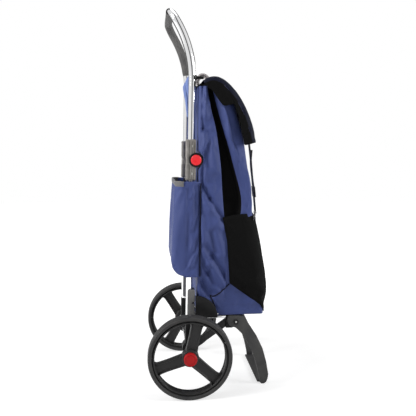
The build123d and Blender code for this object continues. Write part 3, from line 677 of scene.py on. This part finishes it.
def bagPlace(x, y, z, part, side):
    # where a point of the outline stands once the panels bulge and fold
    if part in ("side", "front side", "lip", "roll"):
        share = step(205, 270, z) * (1 - step(770, 813, z))
        y += 1.6 * foldHeight(x, z, sideFolds) * step(24, 34, x)
        y += 1.8 * share * noise.noise(Vector((x / 24, side * 3.1, z / 70)))
        seam = min(math.hypot(x - a, z - b) for a, b in gussetSeam)
        y -= 3.4 * math.exp(-(seam / 4.5) ** 2)
    elif part == "back":
        x -= 1.5 * noise.noise(Vector((y / 30, 5.2, z / 60))) * step(230, 300, z) if abs(y) < 85 else 0
    elif part in ("front", "corner"):
        out = 2.5 * noise.noise(Vector((y / 45, 1.7, z / 55))) + 4.0 * (1 - (y / 130) ** 2) * step(480, 560, z)
        x += out * (1 - step(780, 813, z))
    z -= bag["sag"] * (1 - step(205, 226, z)) * step(60, 100, x)
    return spot(clearOfHinge(x, y, z), side * y, z)


def makeBag():
    low, high = bag["levels"][0][0], bag["levels"][-1][0]
    heights = [low + (high - low) * k / (bag["rows"] - 1) for k in range(bag["rows"])]
    rows, parts = [], []
    for z in heights:
        line = bagSection(z)
        right = [bagPlace(x, y, z, part, -1) for x, y, part in line]
        left = [bagPlace(x, y, z, part, 1) for x, y, part in line[1:-1]]
        rows.append(right + left[::-1])
        parts.append([part for _, _, part in line] + [part for _, _, part in line[1:-1]][::-1])
    wide = len(rows[0])

    # pleat faces above pleatLow take the black cloth: partly the gusset's own black fabric, partly painted shade in
    # the deep fold
    def black(j, i):
        return int(parts[j][i] == parts[j][(i + 1) % wide] == "pleat" and heights[j] > bag["pleatLow"])

    mesh = gridMesh("bagCloth", rows, ring=True, shade=black)
    cleanUp(mesh, 0)
    floorMesh = bpy.data.meshes.new("bagFloor")
    floorMesh.from_pydata([Vector((p.x, p.y, (low + 0.9) * mm)) for p in rows[0]], [], [tuple(range(wide))])
    floor = makePiece("bagFloor", floorMesh, "blue", "frame")
    finishMesh(floor, ("SOLIDIFY", {"thickness": bag["cloth"] * mm, "offset": 0.0}))
    hem = makePiece("bagHem", tubeMesh("bagHem", rows[-1], 0.0019, 8, closed=True), "black", "frame")
    piece = makePiece("bagCloth", mesh, ["blue", "black"], "frame", ["bag_shell"])
    held = [1.0 if part in ("back", "pleat", "lip") or j < 3 or j > len(heights) - 3 else 0.0
            for j in range(len(heights)) for part in parts[j]]
    settle(piece, held, frames=16, pressure=0.25, grow=0.018, cap=5)
    thickened(piece, bag["cloth"])
    return [piece, floor, hem]


softPieces = makeBag()
bagSurface = BVHTree.FromPolygons([v.co for v in softPieces[0].data.vertices],
                                  [f.vertices for f in softPieces[0].data.polygons])


def onBag(x, z, sign, lift=0.0):
    # place on the side panel, a little proud of it
    hit = bagSurface.ray_cast(spot(x, sign * 200, z), Vector((0, -sign, 0)))[0]
    return hit + Vector((0, sign * lift * mm, 0)) if hit else spot(x, sign * 132, z)


def makeGussetSeam():
    # piping along the gusset's seam, with a row of stitches above it
    pipes, rows = [], []
    for sign in (-1, 1):
        line = curveThrough([(x, z, 0) for x, z in gussetSeam], 10)
        pipes.append(tubeMesh("piping", [onBag(p.x, p.y, sign, 0.5) for p in line], 0.0017, 8))
        rows.append([onBag(p.x + 3, p.y + 5, sign, 0.2) for p in line[:32]])
    piping = makePiece("gussetPiping", joined("gussetPiping", pipes), "navy", "frame")
    sewn = beads("gussetStitches", rows, "thread", "frame", 3.6, (1.2, 0.35, 0.35))
    return [piping, sewn]


softPieces += makeGussetSeam()
print("bag sewn")

# ---- rear pocket ----

rearPocket = {"half": 135, "front": 29, "corner": 24, "top": 563, "bottom": 309, "cloth": 1.6,
              "back": [(309, -12), (311, -20), (315, -27), (322, -33), (333, -39), (353, -42), (450, -38),
                       (548, -33), (563, -31)],
              "folds": [(18, 548, 20, 330, -3.2, 4), (10, 556, 8, 340, 2.6, 6), (24, 470, 12, 430, -2.2, 4),
                        (25, 430, 8, 385, 2.6, 5), (25, 408, 6, 362, -2.8, 5), (25, 385, 4, 342, 2.6, 5),
                        (24, 360, 4, 322, -2.6, 5), (-10, 560, -14, 340, 2.4, 7), (-26, 552, -32, 345, -2.2, 6),
                        (22, 545, 4, 520, 2.0, 5), (0, 540, -2, 400, -1.8, 6)]}


def pocketSection(z):
    # half of the pocket's outline, from the middle of its back to its front edge
    back = float(np.interp(z, [r[0] for r in rearPocket["back"]], [r[1] for r in rearPocket["back"]]))
    half, r, front = rearPocket["half"], rearPocket["corner"], rearPocket["front"]
    r = min(r, front - back - 6)
    line = [(back, (half - r) * k / 16, "back") for k in range(16)]
    line += [(back + r - r * cos(a), half - r + r * sin(a), "bend") for a in (pi / 2 * k / 9 for k in range(9))]
    start = back + r
    return line + [(start + (front - start) * k / 12, half, "side") for k in range(1, 13)]


def pocketPlace(x, y, z, part, side):
    if part == "side":
        y += foldHeight(x, z, rearPocket["folds"])
        y -= 4.0 * step(rearPocket["front"] - 9, rearPocket["front"], x)
    if part != "back":
        y += 1.4 * noise.noise(Vector((x / 22, side * 6.3, z / 60)))
    else:
        x -= 2.5 * noise.noise(Vector((y / 40, 9.1, z / 50)))
    return spot(x, side * y, z)


def makeRearPocket():
    count = 52
    low, high = rearPocket["bottom"], rearPocket["top"]
    heights = sorted({low, 311, 315, 322} | {low + 20 + (high - low - 20) * k / count for k in range(count + 1)})
    rows, held = [], []
    for z in heights:
        line = pocketSection(z)
        right = [pocketPlace(x, y, z, part, -1) for x, y, part in line[::-1]]
        left = [pocketPlace(x, y, z, part, 1) for x, y, part in line[1:]]
        rows.append(right + left)
        tie = 1.0 if z > high - 4 or z < low + 4 else 0.0
        held += [1.0 if i < 2 or i > len(rows[0]) - 3 else tie for i in range(len(rows[0]))]
    mesh = gridMesh("rearPocketCloth", rows)
    piece = makePiece("rearPocketCloth", mesh, "blue", "frame", ["rear_pocket"])
    settle(piece, held, frames=14, pressure=0.35, grow=0.02, cap=4)
    thickened(piece, rearPocket["cloth"], 1.0)
    return piece


def makePocketFloor():
    # floor of the rear pocket, with an eyelet round each tube
    tubes = [leaned(0, sign * tubeY, rearPocket["bottom"]) for sign in (-1, 1)]
    rows = []
    count = 66
    for i in range(9):
        x = -11 + (rearPocket["front"] + 11) * i / 8
        rows.append([spot(x, -133.5 + 267 * k / count, rearPocket["bottom"] + 0.8) for k in range(count + 1)])
    mesh = gridMesh("rearPocketFloor", rows)
    bm = bmesh.new()
    bm.from_mesh(mesh)
    gone = [f for f in bm.faces if min((f.calc_center_median() - t).xy.length for t in tubes) < 10.5 * mm]
    bmesh.ops.delete(bm, geom=gone, context="FACES")
    bm.to_mesh(mesh)
    bm.free()
    piece = makePiece("rearPocketFloor", mesh, "blue", "frame")
    finishMesh(piece, ("SOLIDIFY", {"thickness": 0.0014, "offset": 0.0}))
    rings = [tubeMesh("eyelet", [t + Vector((cos(a), sin(a), 0)) * 12.2 * mm for a in angles(32)], 0.0027,
                      closed=True) for t in tubes]
    eyelets = makePiece("tubeEyelets", joined("tubeEyelets", rings), "black plastic", "frame")
    return [piece, eyelets]


def pocketEdge(z, out=0.0):
    line = pocketSection(z)
    right = [spot(x, -(y + out), z) for x, y, _ in line[::-1]]
    left = [spot(x, y + out, z) for x, y, _ in line[1:]]
    return right + left


def makePocketBinding():
    # folded grey tape over the pocket's mouth, with its two rows of stitches
    top = [p for p in pocketEdge(rearPocket["top"]) if p.x < spot(-11, 0, 0).x]
    count = len(top)
    profile = [(-1.0, -13), (-1.9, -12), (-2.1, -6), (-1.9, -1), (-0.6, 1.2), (0.9, 1.3), (2.2, -0.8), (2.4, -6),
               (2.2, -12), (1.4, -13)]
    rows = []
    for i, p in enumerate(top):
        along = (top[min(i + 1, count - 1)] - top[max(i - 1, 0)]).normalized()
        out = Vector((along.y, -along.x, 0))
        if out.dot(p - spot(0, 0, rearPocket["top"])) < 0:
            out = -out
        sag = 1.2 * noise.noise(Vector((i * 0.21, 4.4, 0)))
        rows.append([p + (out * (a + 0.8) + Vector((0, 0, b + sag))) * mm for a, b in profile])
    mesh = gridMesh("pocketBinding", rows, ring=True)
    cleanUp(mesh)
    tape = makePiece("pocketBinding", mesh, "binding", "frame", ["pocket_rim"])
    lines = [[row[7] + Vector((0, 0, 2.5 * mm)) for row in rows],
             [row[8] + Vector((0, 0, 1.5 * mm)) for row in rows]]
    sewn = beads("bindingStitches", lines, "thread", "frame", 3.4, (1.2, 0.35, 0.35))
    return [tape, sewn]


softPieces += [makeRearPocket(), *makePocketFloor(), *makePocketBinding()]


def makePiping():
    # dark piping down the seams that join the rear pocket and the gusset to the bag
    seam = [(33, 558), (32, 500), (31, 440), (30.5, 380), (30, 311)]
    pipes = [tubeMesh("piping", curveThrough([spot(x, sign * 133.2, z) for x, z in seam], 10), 0.0016, 8)
             for sign in (-1, 1)]
    return makePiece("seamPiping", joined("seamPiping", pipes), "navy", "frame")


softPieces.append(makePiping())
print("rear pocket sewn")

# ---- front pocket ----

frontPocket = {"proud": 2.6, "cloth": 1.4, "wide": 132, "high": 60}


def frontPocketPlace(across, up):
    # place on the pocket: across runs 0 to 1 from the right side's edge round to the left's
    side = -1 if across < 0.5 else 1
    share = min(across, 1 - across) * 2
    sideShare, bendShare = 0.36, 0.52
    low = np.interp(share, [0, sideShare, bendShare, 1], [290, 228, 205, 203])
    high = np.interp(share, [0, 0.18, sideShare, 1], [468, 474, 477, 478])
    z = low + (high - low) * up
    back, front, half = (between(bag["levels"], z, k) for k in (1, 2, 3))
    corner = frontCorner(z)
    edge = float(np.interp(z, [204, 290, 404, 466, 480], [114, 112, 104, 92, 91]))
    proud = frontPocket["proud"] + 2.5 * step(0, 0.5, share) * step(0, 0.2, up) * step(0, 0.15, 1 - up)
    rim = min(step(0, 0.05, share), step(0, 0.04, up), step(0, 0.03, 1 - up))
    proud *= 0.45 + 0.55 * rim
    if share < sideShare:
        x = edge + (front - corner - edge) * share / sideShare
        y = half + proud + 0.9 * noise.noise(Vector((x / 30, side * 2.2, z / 45)))
    elif share < bendShare:
        a = pi / 2 * (share - sideShare) / (bendShare - sideShare)
        x = front - corner + (corner + proud) * sin(a)
        y = half - corner + (corner + proud) * cos(a)
    else:
        x = front + proud + 1.5 * noise.noise(Vector((across * 6, 3.3, z / 50)))
        y = (half - corner) * (1 - (share - bendShare) / (1 - bendShare))
    return spot(x, side * y, z)


def movedOut(p, lift, up=0.0):
    # a place moved out from the bag's middle line, and up
    return p + (p - spot(bagMiddle, 0, p.z / mm)).normalized() * lift * mm + Vector((0, 0, up * mm))


def makeFrontPocket():
    wide, high = frontPocket["wide"], frontPocket["high"]
    rows = [[frontPocketPlace(i / wide, j / high) for i in range(wide + 1)] for j in range(high + 1)]
    mesh = gridMesh("frontPocketCloth", rows)
    piece = makePiece("frontPocketCloth", mesh, "black", "frame", ["front_pocket"])
    held = [1.0 if j in (0, high) or i < 3 or i > wide - 3 else 0.0
            for j in range(high + 1) for i in range(wide + 1)]
    settle(piece, held, frames=10, pressure=0.2, grow=0.01, cap=3)
    thickened(piece, frontPocket["cloth"], 1.0)
    edge = [rows[j][0] for j in range(high, -1, -1)] + rows[0][1:] + [rows[j][-1] for j in range(1, high + 1)]
    piping = makePiece("frontPocketPiping", tubeMesh("frontPocketPiping", [movedOut(p, 0.8) for p in edge], 0.0014, 8),
                       "black", "frame")
    return [piece, piping], rows


def makeZip(rows):
    # zip along the pocket's top: two tapes, teeth and a puller
    path = [movedOut(p, 3.0) for p in rows[-4][30:-30]]
    profile = ((-3.6, -1.2), (-3.4, 0.2), (3.4, 0.2), (3.6, -1.2))
    tapes = [gridMesh("tape", [[movedOut(p, lift, dz + up) for up, lift in profile] for p in path])
             for dz in (-4.2, 4.2)]
    tape = makePiece("zipTape", joined("zipTape", tapes), "webbing", "frame")
    teeth = beads("zipTeeth", [[movedOut(p, 0.4) for p in path]], "black plastic", "frame", 2.2, (0.8, 1.1, 1.9),
                  jitter=0.0)
    start = path[22]
    tab = [movedOut(start, 2.4), movedOut(start, 3.6, -8), movedOut(start, 3.4, -24)]
    pull = tubeMesh("pull", curveThrough(tab, 6), lambda t: (1.6 + 1.6 * t) * mm)
    body = tubeMesh("body", [movedOut(start, 1.6, up) for up in (-5, -3, 0, 3, 5)],
                    lambda t: (2.2 + 1.6 * sin(pi * t)) * mm, 12)
    slide = makePiece("zipPuller", joined("zipPuller", [pull, body]), "steel", "frame")
    return [tape, teeth, slide]


pocketPieces, pocketRows = makeFrontPocket()
softPieces += pocketPieces + makeZip(pocketRows)
print("front pocket sewn")

# ---- flap ----

flap = {"top": [(40, 822), (52, 829), (66, 832), (84, 829), (100, 819), (116, 803), (131, 784), (147, 758), (160, 729),
                (170, 698), (178, 666)],
        "skirt": [(44, 816), (54, 806), (64, 800), (78, 780), (93, 762), (108, 763), (121, 764), (131, 742),
                  (139, 716), (145, 690), (150, 659)],
        "half": 131, "roll": 9, "crown": 4.0, "rows": 56, "columns": 96, "skirtColumns": 8, "cloth": 2.4,
        "skirtShare": 0.17, "rollShare": 0.25}


def flapPlace(u, v):
    # place on the lid: u runs from its hinge to its lip, v from the right skirt's edge to the left's
    top = curveAt(flap["top"], u)
    after = curveAt(flap["top"], min(u + 0.01, 1))
    before = curveAt(flap["top"], max(u - 0.01, 0))
    along = (after - before).normalized()
    out = Vector((-along.y, along.x))
    if out.x + out.y <= 0:
        out = -out
    low = curveAt(flap["skirt"], u)
    side = -1 if v < 0.5 else 1
    share = min(v, 1 - v) * 2
    skirtShare, rollShare = flap["skirtShare"], flap["rollShare"]
    roll, half = flap["roll"], flap["half"]
    if share < skirtShare:
        t = share / skirtShare
        start = top - out * roll
        point = low.lerp(start, t)
        y = half + 1.5 * sin(pi * t) + 1.6 * noise.noise(Vector((u * 9, side * 5, t * 1.5)))
    elif share < rollShare:
        a = pi / 2 * (share - skirtShare) / (rollShare - skirtShare)
        point = top - out * roll * (1 - sin(a))
        y = half - roll * (1 - cos(a))
    else:
        t = (share - rollShare) / (1 - rollShare)
        y = (half - roll) * (1 - t)
        lump = 1.3 * noise.noise(Vector((u * 5, side * y / 40, 8.1)))
        crown = flap["crown"] * step(0, 0.9, t) * sin(pi * min(u + 0.12, 1) * 0.9)
        point = top + out * (crown + lump * step(0, 0.2, t))
        point.y -= 3.0 * step(0.93, 1.0, u) * step(0, 0.7, t)
    return spot(point.x, side * y, point.y)


def curveAt(points, t):
    # place on a smooth line through (x, z) points
    at = t * (len(points) - 1)
    i = min(int(at), len(points) - 2)
    f = at - i
    a, b, c, d = (Vector(points[min(max(k, 0), len(points) - 1)]) for k in (i - 1, i, i + 1, i + 2))
    return 0.5 * ((2 * b) + (c - a) * f + (2 * a - 5 * b + 4 * c - d) * f * f + (3 * b - a - 3 * c + d) * f ** 3)


def makeFlap():
    wide, high, edgeColumns = flap["columns"], flap["rows"], flap["skirtColumns"]
    rows = [[flapPlace(j / high, i / wide) for i in range(wide + 1)] for j in range(high + 1)]
    # the skirt columns take the black cloth, darker than the navy top: painted shade on the flap's sides, where the
    # same cloth gets less light
    mesh = gridMesh("flapCloth", rows, shade=lambda j, i: int(min(i, wide - 1 - i) < edgeColumns))
    piece = makePiece("flapCloth", mesh, ["navy", "black"], "flap", ["flap"])
    held = [1.0 if j in (0, high) or i in (0, wide) else 0.0 for j in range(high + 1) for i in range(wide + 1)]
    settle(piece, held, frames=10, pressure=0.2, grow=0.012, cap=3)
    thickened(piece, flap["cloth"])
    edge = [row[0] for row in rows] + rows[high][1:] + [row[-1] for row in rows[high - 1::-1]]
    piping = makePiece("flapBinding", tubeMesh("flapBinding", edge, 0.0019, 8), "black", "flap")
    lines = [[rows[j][8] + (rows[j][8] - rows[j][9]) * 0.02 + Vector((0, -0.0006, 0)) for j in range(2, high - 1)],
             [rows[j][-9] + Vector((0, 0.0006, 0)) for j in range(2, high - 1)]]
    sewn = beads("flapStitches", lines, "thread", "flap", 3.6, (1.2, 0.35, 0.35))
    return [piece, piping, sewn]


softPieces += makeFlap()
print("flap sewn")

# ---- closing strap, hook, cords and hanging tabs ----

strap = {"line": [(183, 662), (188, 620), (192, 575), (197, 525), (202, 471)], "half": 14, "cloth": 1.5,
         "second": [(188, 646), (186, 610), (190, 570), (197, 522)]}


def webbing(name, line, offset=0.0, steps=32):
    # flat strap of woven webbing along (x, z) points, with rounded edges
    path = [curveAt(line, k / steps) for k in range(steps + 1)]
    profile = [(-1, 0), (-0.96, 0.5), (-0.5, 0.62), (0, 0.66), (0.5, 0.62), (0.96, 0.5)]
    profile += [(-a, -b) for a, b in profile]
    rows = []
    for i, p in enumerate(path):
        along = (path[min(i + 1, len(path) - 1)] - path[max(i - 1, 0)]).normalized()
        out = Vector((along.y, -along.x))
        row = []
        for a, b in profile:
            q = p + out * (b * strap["cloth"] + offset)
            row.append(spot(q.x, a * strap["half"], q.y))
        rows.append(row)
    return capEnds(gridMesh(name, rows, ring=True), len(profile))


def makeStrap():
    one = webbing("one", strap["line"])
    two = webbing("two", strap["second"], offset=-2.4)
    piece = makePiece("closingWebbing", joined("closingWebbing", [one, two]), "webbing", "strap",
                      ["closing_strap"])
    frameBars = [tubeMesh("bar", [spot(x, y, z) for y in (-17, -8, 0, 8, 17)], 0.0021)
                 for x, z in ((196, 540), (197.4, 527), (198.8, 514))]
    frameBars += [tubeMesh("rail", [spot(x, y, z) for x, z in ((195.8, 542), (197.4, 527), (199, 512))], 0.0024)
                  for y in (-17, 17)]
    buckle = makePiece("ladderBuckle", joined("ladderBuckle", frameBars), "black plastic", "strap",
                       ["strap_slider"])
    return [piece, buckle]


def makeTabs():
    # two soft tabs that hang from the handle's bar
    section = [(845, -2, 15.5, 2.0), (838, -5, 17, 6.0), (829, -6.4, 17, 8.0), (818, -6.2, 17, 8.0), (806, -5.0, 17, 6.8),
               (792, -3.2, 16.6, 5.2), (774, -1.6, 16, 4.2), (756, -0.4, 15, 3.2), (741, 0.4, 14, 2.2)]
    meshes = []
    for sign in (-1, 1):
        rows = []
        for k in range(41):
            t = k / 40
            z, x, half, thick = (float(np.interp(t * 8, range(9), [s[c] for s in section])) for c in range(4))
            x += 0.6 * noise.noise(Vector((t * 6, sign, 0)))
            ring = []
            for a in angles(28):
                flat = abs(cos(a)) ** 0.55 * (1 if cos(a) > 0 else -1)
                puff = thick * sin(a) * (1 + 0.12 * noise.noise(Vector((t * 7, cos(a) * 1.5, sign * 3))))
                ring.append(leaned(x - 0.4 + puff, sign * 58 + half * flat, z))
            rows.append(ring)
        meshes.append(capEnds(gridMesh("tab", rows, ring=True), 28))
    # the tabs take the blue cloth painted paler, a painted highlight standing for the light on them
    tabs = makePiece("hangingTabs", joined("hangingTabs", meshes), "paleBlue", "handle", ["hang_straps"])
    finishMesh(tabs, ("SUBSURF", {"levels": 1, "render_levels": 1}))
    return tabs


def makeLoops():
    # three cord loops that stand up from the flap's back seam
    meshes = []
    for reach, y in ((13, 0), (18.5, 2.6), (24, -2.2)):
        pts = [spot(63 + reach * 0.25, y, 830), spot(61 + reach * 0.35, y, 836 + reach * 0.3),
               spot(57, y, 838 + reach * 0.72), spot(50 - reach * 0.35, y, 838 + reach * 0.66),
               spot(46 - reach * 0.55, y, 836 + reach * 0.1), spot(46 - reach * 0.5, y, 829 - reach * 0.15)]
        meshes.append(tubeMesh("loop", curveThrough(pts, 9), 0.0026, 12))
    return makePiece("flapCordLoops", joined("flapCordLoops", meshes), "cord", "flap", ["flap_loops"])


softPieces += makeStrap() + [makeLoops()]
softPieces.append(mouldedFrom("snapHook", "snap_hook", "steel", "strap", 0.5, 2))
softPieces.append(mouldedFrom("pocketRing", "pocket_ring", "steel", "frame", 0.45, 2))
hangingTabs = makeTabs()
print("straps and cords made")

# each soft piece gets its own copy of its mesh
for piece in softPieces:
    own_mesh(piece)

# ---- wheels ----

wheel = {"radius": 110, "width": 35, "track": 185, "rimOuter": 98, "rimInner": 92, "hub": 23,
         "flank": 8.0, "web": 4.0, "wall": 3.6, "bore": 10.6, "firstSpoke": {"right": 78, "left": 2},
         "spokeHalf": [(12, 15.5), (24, 15.2), (40, 14.6), (60, 14.2), (80, 14.6), (86, 15.6), (90, 18), (93, 22),
                       (95.5, 27)]}


def wheelPlace(sign, first=0.0):
    # turns wheel places (x, z in its plane, depth outwards) into the frame's
    def place(x, depth, z):
        a = radians(first)
        return spot(x * cos(a) - z * sin(a), sign * (wheel["track"] + depth), axleZ + x * sin(a) + z * cos(a))
    return place


def spokeMesh(place):
    # channel spoke along +x: a web between two raised flanks, wider at the hub and the rim
    rows = []
    out, dip, wall, draft = wheel["flank"], wheel["web"], wheel["wall"], 1.6
    for r, half in wheel["spokeHalf"]:
        inner = half - wall
        line = [(-half, -out), (-half, out), (-inner, out), (draft - inner, dip), (inner - draft, dip),
                (inner, out)]
        line += [(-side, -depth) for side, depth in line]
        rows.append([place(r, depth, side) for side, depth in line])
    return capEnds(gridMesh("spoke", rows, ring=True), 12)


def spunMesh(name, outline, sign, turns=128):
    # closed outline of (radius, depth outwards) spun about the axle
    centre = spot(0, sign * wheel["track"], axleZ)
    rows = [[centre + Vector((r * cos(t), sign * depth, r * sin(t))) * mm for t in angles(turns)]
            for r, depth in outline + outline[:1]]
    mesh = gridMesh(name, rows, ring=True)
    cleanUp(mesh)
    return mesh


def makeWheel(side, sign):
    body = "wheel_" + side
    outer, inner = wheel["rimOuter"], wheel["rimInner"]
    band = [(inner, 12.5), (inner + 1, 15.2), (outer - 2.6, 15.2), (outer, 12.2), (outer, -12.2), (outer - 2.6, -15.2),
            (inner + 1, -15.2), (inner, -12.5), (inner + 2.4, -10), (inner + 2.8, 0), (inner + 2.4, 10)]
    hub = [(wheel["bore"], 13), (15, 13), (21, 12.2), (wheel["hub"], 10)]
    hub += [(r, -depth) for r, depth in reversed(hub)]
    parts = [spunMesh("band", band, sign), spunMesh("hub", hub, sign)]
    for k in range(3):
        parts.append(spokeMesh(wheelPlace(sign, wheel["firstSpoke"][side] + 120 * k)))
    rim = makePiece("rim_" + side, joined("rim", parts), "wheel", body, ["wheel_rim_" + side])
    remeshed(rim, 1.05, 2)
    half = wheel["width"] / 2
    tread = [(outer + 0.2, 10.5), (outer + 1.0, 11.5), (99.8, 14.6), (100.8, 16.4), (102.4, 17.2), (104.5, half), (107.3, 17.2),
             (109.2, 15.2), (110, 11.5), (110, 6.4), (109.2, 5.8), (109.2, 5.0), (110, 4.4), (110, 0.8), (109.0, 0)]
    tread += [(r, -d) for r, d in reversed(tread[:-1])]
    tyre = spunMesh("tyre", tread, sign, 160)
    lugs = makePiece("tyre_mould_" + side, tyre, "tyre", body, ["tyre_" + side])
    finishMesh(lugs, ("BEVEL", {"width": 0.0004, "segments": 2, "limit_method": "ANGLE"}))
    centre = spot(0, sign * wheel["track"], axleZ)
    cap = [(0, 23.0), (9, 23.0), (11.2, 22.7), (12.4, 22.0), (13.2, 22.0), (13.9, 23.3), (15.2, 23.5), (16.4, 23.0),
           (17, 21.6), (17.2, 14), (17.2, 13.1), (15, 13.1), (15, 19), (0, 19.5)]
    lathe("hubCap_" + side, cap, centre, (0, sign, 0), "cap red", body, ["wheel_cap_" + side], 72)


for side, sign in sides.items():
    makeWheel(side, sign)
print("wheels made")

# ---- folding joints: knuckles, knobs and buttons ----

knuckle = {"half": 13.1, "pivot": (12, 619), "upper": (624, 671), "lower": (567, 606), "collar": 4.5,
           "ridges": [(-12.6, -6.6, 2.2), (-4.2, 1.2, 1.5), (3.4, 7.2, 1.5), (9.0, 12.6, 2.2)]}


def makeKnuckles(side, sign):
    base = knuckle["half"]

    def block(x0, x1, y0, y1, z0, z1):
        return slab(x0, x1, sign * (tubeY + y0), sign * (tubeY + y1), z0, z1, leaned)

    for half, body in (("upper", "handle"), ("lower", "frame")):
        z0, z1 = knuckle[half]
        blocks = []
        for x0, x1, out in knuckle["ridges"]:
            blocks += [block(x0, x1, base - 2, base + out, z0, z1), block(x0, x1, -base - out, -11.1, z0, z1)]
        blocks.append(block(-base - 0.9, 2 - base, -8, 8, z0 + 3, z1 - 3))
        collar = z1 - 4 if half == "upper" else z0
        blocks += [block(-base - 1, 12.4, y0, y1, collar, collar + knuckle["collar"])
                   for y0, y1 in ((-14.2, -11), (11, 14.2))]
        mouldedFrom(half + "Knuckle_" + side, half + "_knuckle_" + side, "hinge", body, 0.6, 1, blocks)
    pivot = leaned(knuckle["pivot"][0], sign * tubeY, knuckle["pivot"][1])
    outline = [(14.6, 8.2), (15.6, 8.7), (17.2, 8.5), (18.6, 7.2), (19, 5), (18.7, 2), (19, 0.1), (3.2, 0.1),
               (3.2, 1.6), (14.4, 1.6)]
    lathe("knob_" + side, [(r, base + depth) for r, depth in outline], pivot, (0, sign, 0), "black plastic",
          "handle", ["knob_ring_" + side])
    outline = [(0, -0.7), (8, -0.7), (10, -0.5), (11.2, 0.1), (12.4, 0.1), (13.4, -0.5), (13.9, -1.6), (13.9, -3),
               (0, -3)]
    lathe("releaseButton_" + side, [(r, base + 10.6 + depth) for r, depth in outline], pivot, (0, sign, 0), "red",
          "button_" + side, ["release_button_" + side])


for side, sign in sides.items():
    makeKnuckles(side, sign)

# ---- softened mouldings ----

mouldings = [("clampMoulding", "frame_clamp_", "clamp", "frame", 0.9, "black_plastic"),
             ("axleLeg", "axle_leg_", "black plastic", "frame", 1.1, "black_plastic"),
             ("cheekPlate", "tray_cheek_", "black plastic", "frame", 0.9, "black_plastic"),
             ("standBracket", "stand_bracket_", "black plastic", "frame", 0.9, "black_plastic"),
             ("braceStrut", "strut_", "paint", "frame", 1.0, "black_steel"),
             ("standLeg", "stand_leg_", "stand", "stand", 1.0, "black_plastic")]
for side, sign in sides.items():
    for name, node, finish, body, voxel, slot in mouldings:
        mouldedFrom(name + "_" + side, node + side, finish, body, voxel, 3)
mouldedFrom("footPlate", "stand_foot", "stand", "stand", 1.0, 3)
print("mouldings softened")

# ---- hooks that hold the bag's top corners to the tubes, and the stand's rivets ----


hookShape = {"low": 828, "high": 839, "ring": (9.6, 12.4), "arm": (10, 30), "half": 2, "wrap": 70}


def makeHook(side, sign):
    low, high = hookShape["low"], hookShape["high"]
    inner, outer = hookShape["ring"]
    wrap = radians(hookShape["wrap"])
    arcs = [[leaned(r * cos(t), sign * tubeY + r * sin(t), z) for r, z in
             ((inner, low), (outer, low), (outer, high), (inner, high), (inner, low))]
            for t in (wrap * (k / 10 - 1) for k in range(21))]
    saddle = gridMesh("saddle", arcs)
    cleanUp(saddle)
    half = hookShape["half"]
    arm = slab(*hookShape["arm"], sign * (tubeY - half), sign * (tubeY + half), low + 2, high - 2, leaned)
    piece = makePiece("hookBand_" + side, joined("hookBand", [saddle, arm]), "black plastic", "handle",
                      ["hook_" + side])
    finishMesh(piece, ("BEVEL", {"width": 0.0005, "segments": 2, "limit_method": "ANGLE"}))


for side, sign in sides.items():
    makeHook(side, sign)
pinLow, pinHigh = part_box("stand_pins")
pinX, pinZ = (pinLow.x + pinHigh.x) / 2, (pinLow.z + pinHigh.z) / 2
# rivet head: round bar with softened ends, from inside the pin to just past its end
dot = [(0, -1.5), (1.95, -1.5), (2.6, -0.85), (2.6, 0.05), (1.95, 0.7), (0, 0.7)]
dots = [spun("dot", dot, Vector((pinX, y, pinZ)), (0, out, 0), 24) for y, out in ((pinLow.y, -1), (pinHigh.y, 1))]
# the pin heads are painted white, a painted highlight for the glint on their ends
makePiece("pinRivets", joined("pinRivets", dots), "white", "frame")
print("hooks and rivets made")

# ---- grip ----

grip = {"start": 865, "straight": 828, "sweep": 280, "angle": 31, "corner": 40, "tube": 9.5, "thick": 2.8, "ribs": 9,
        "half": 86}


def makeGrip():
    # ribbed liner round the inside of the loop
    reach, sweep = radians(grip["angle"]), grip["sweep"]
    corner = grip["corner"]
    first = math.asin((grip["start"] - grip["straight"]) / sweep)
    path = [(-tubeY, first + (reach - first) * k / 60, 0.0) for k in range(60)]
    path += [(corner * (1 - cos(t)) - tubeY, reach, corner * sin(t)) for t in (pi / 2 * k / 24 for k in range(24))]
    path += [((corner - tubeY) * (1 - k / 16), reach, corner) for k in range(17)]
    path += [(-y, a, up) for y, a, up in path[-2::-1]]

    def onLoop(y, a, up):
        x, z = -sweep * (1 - cos(a)) - up * sin(a), grip["straight"] + sweep * sin(a) + up * cos(a)
        return leaned(x, y, z), (leaned(x + cos(a), y, z + sin(a)) - leaned(x, y, z)).normalized()

    middle = [onLoop(*p) for p in path]
    half = radians(grip["half"])
    rows = []
    for i, (p, out) in enumerate(middle):
        along = (middle[min(i + 1, len(middle) - 1)][0] - middle[max(i - 1, 0)][0]).normalized()
        inward = along.cross(out).normalized()
        if inward.dot(leaned(-15, 0, 900) - p) < 0:
            inward = -inward
        taper = step(0, 4, i) * step(0, 4, len(middle) - 1 - i)
        ring = []
        for a in (half * (k / 32 - 1) for k in range(65)):
            rib = 0.5 * max(0, cos(grip["ribs"] * 2 * a)) ** 0.7 if abs(a) < radians(74) else 0
            r = grip["tube"] + (grip["thick"] - 0.6 + rib) * (0.35 + 0.65 * taper) * (cos(a * 0.98) ** 0.12)
            ring.append(p + (inward * cos(a) + out * sin(a)) * r * mm)
        for a in (half * (k / 6 - 1) for k in range(12, -1, -1)):
            ring.append(p + (inward * cos(a) + out * sin(a)) * (grip["tube"] + 0.1) * mm)
        rows.append(ring)
    mesh = capEnds(gridMesh("ribbedGrip", rows, ring=True), len(rows[0]))
    makePiece("ribbedGrip", mesh, "grip", "handle", ["handle_grip"])


makeGrip()
print("grip made")
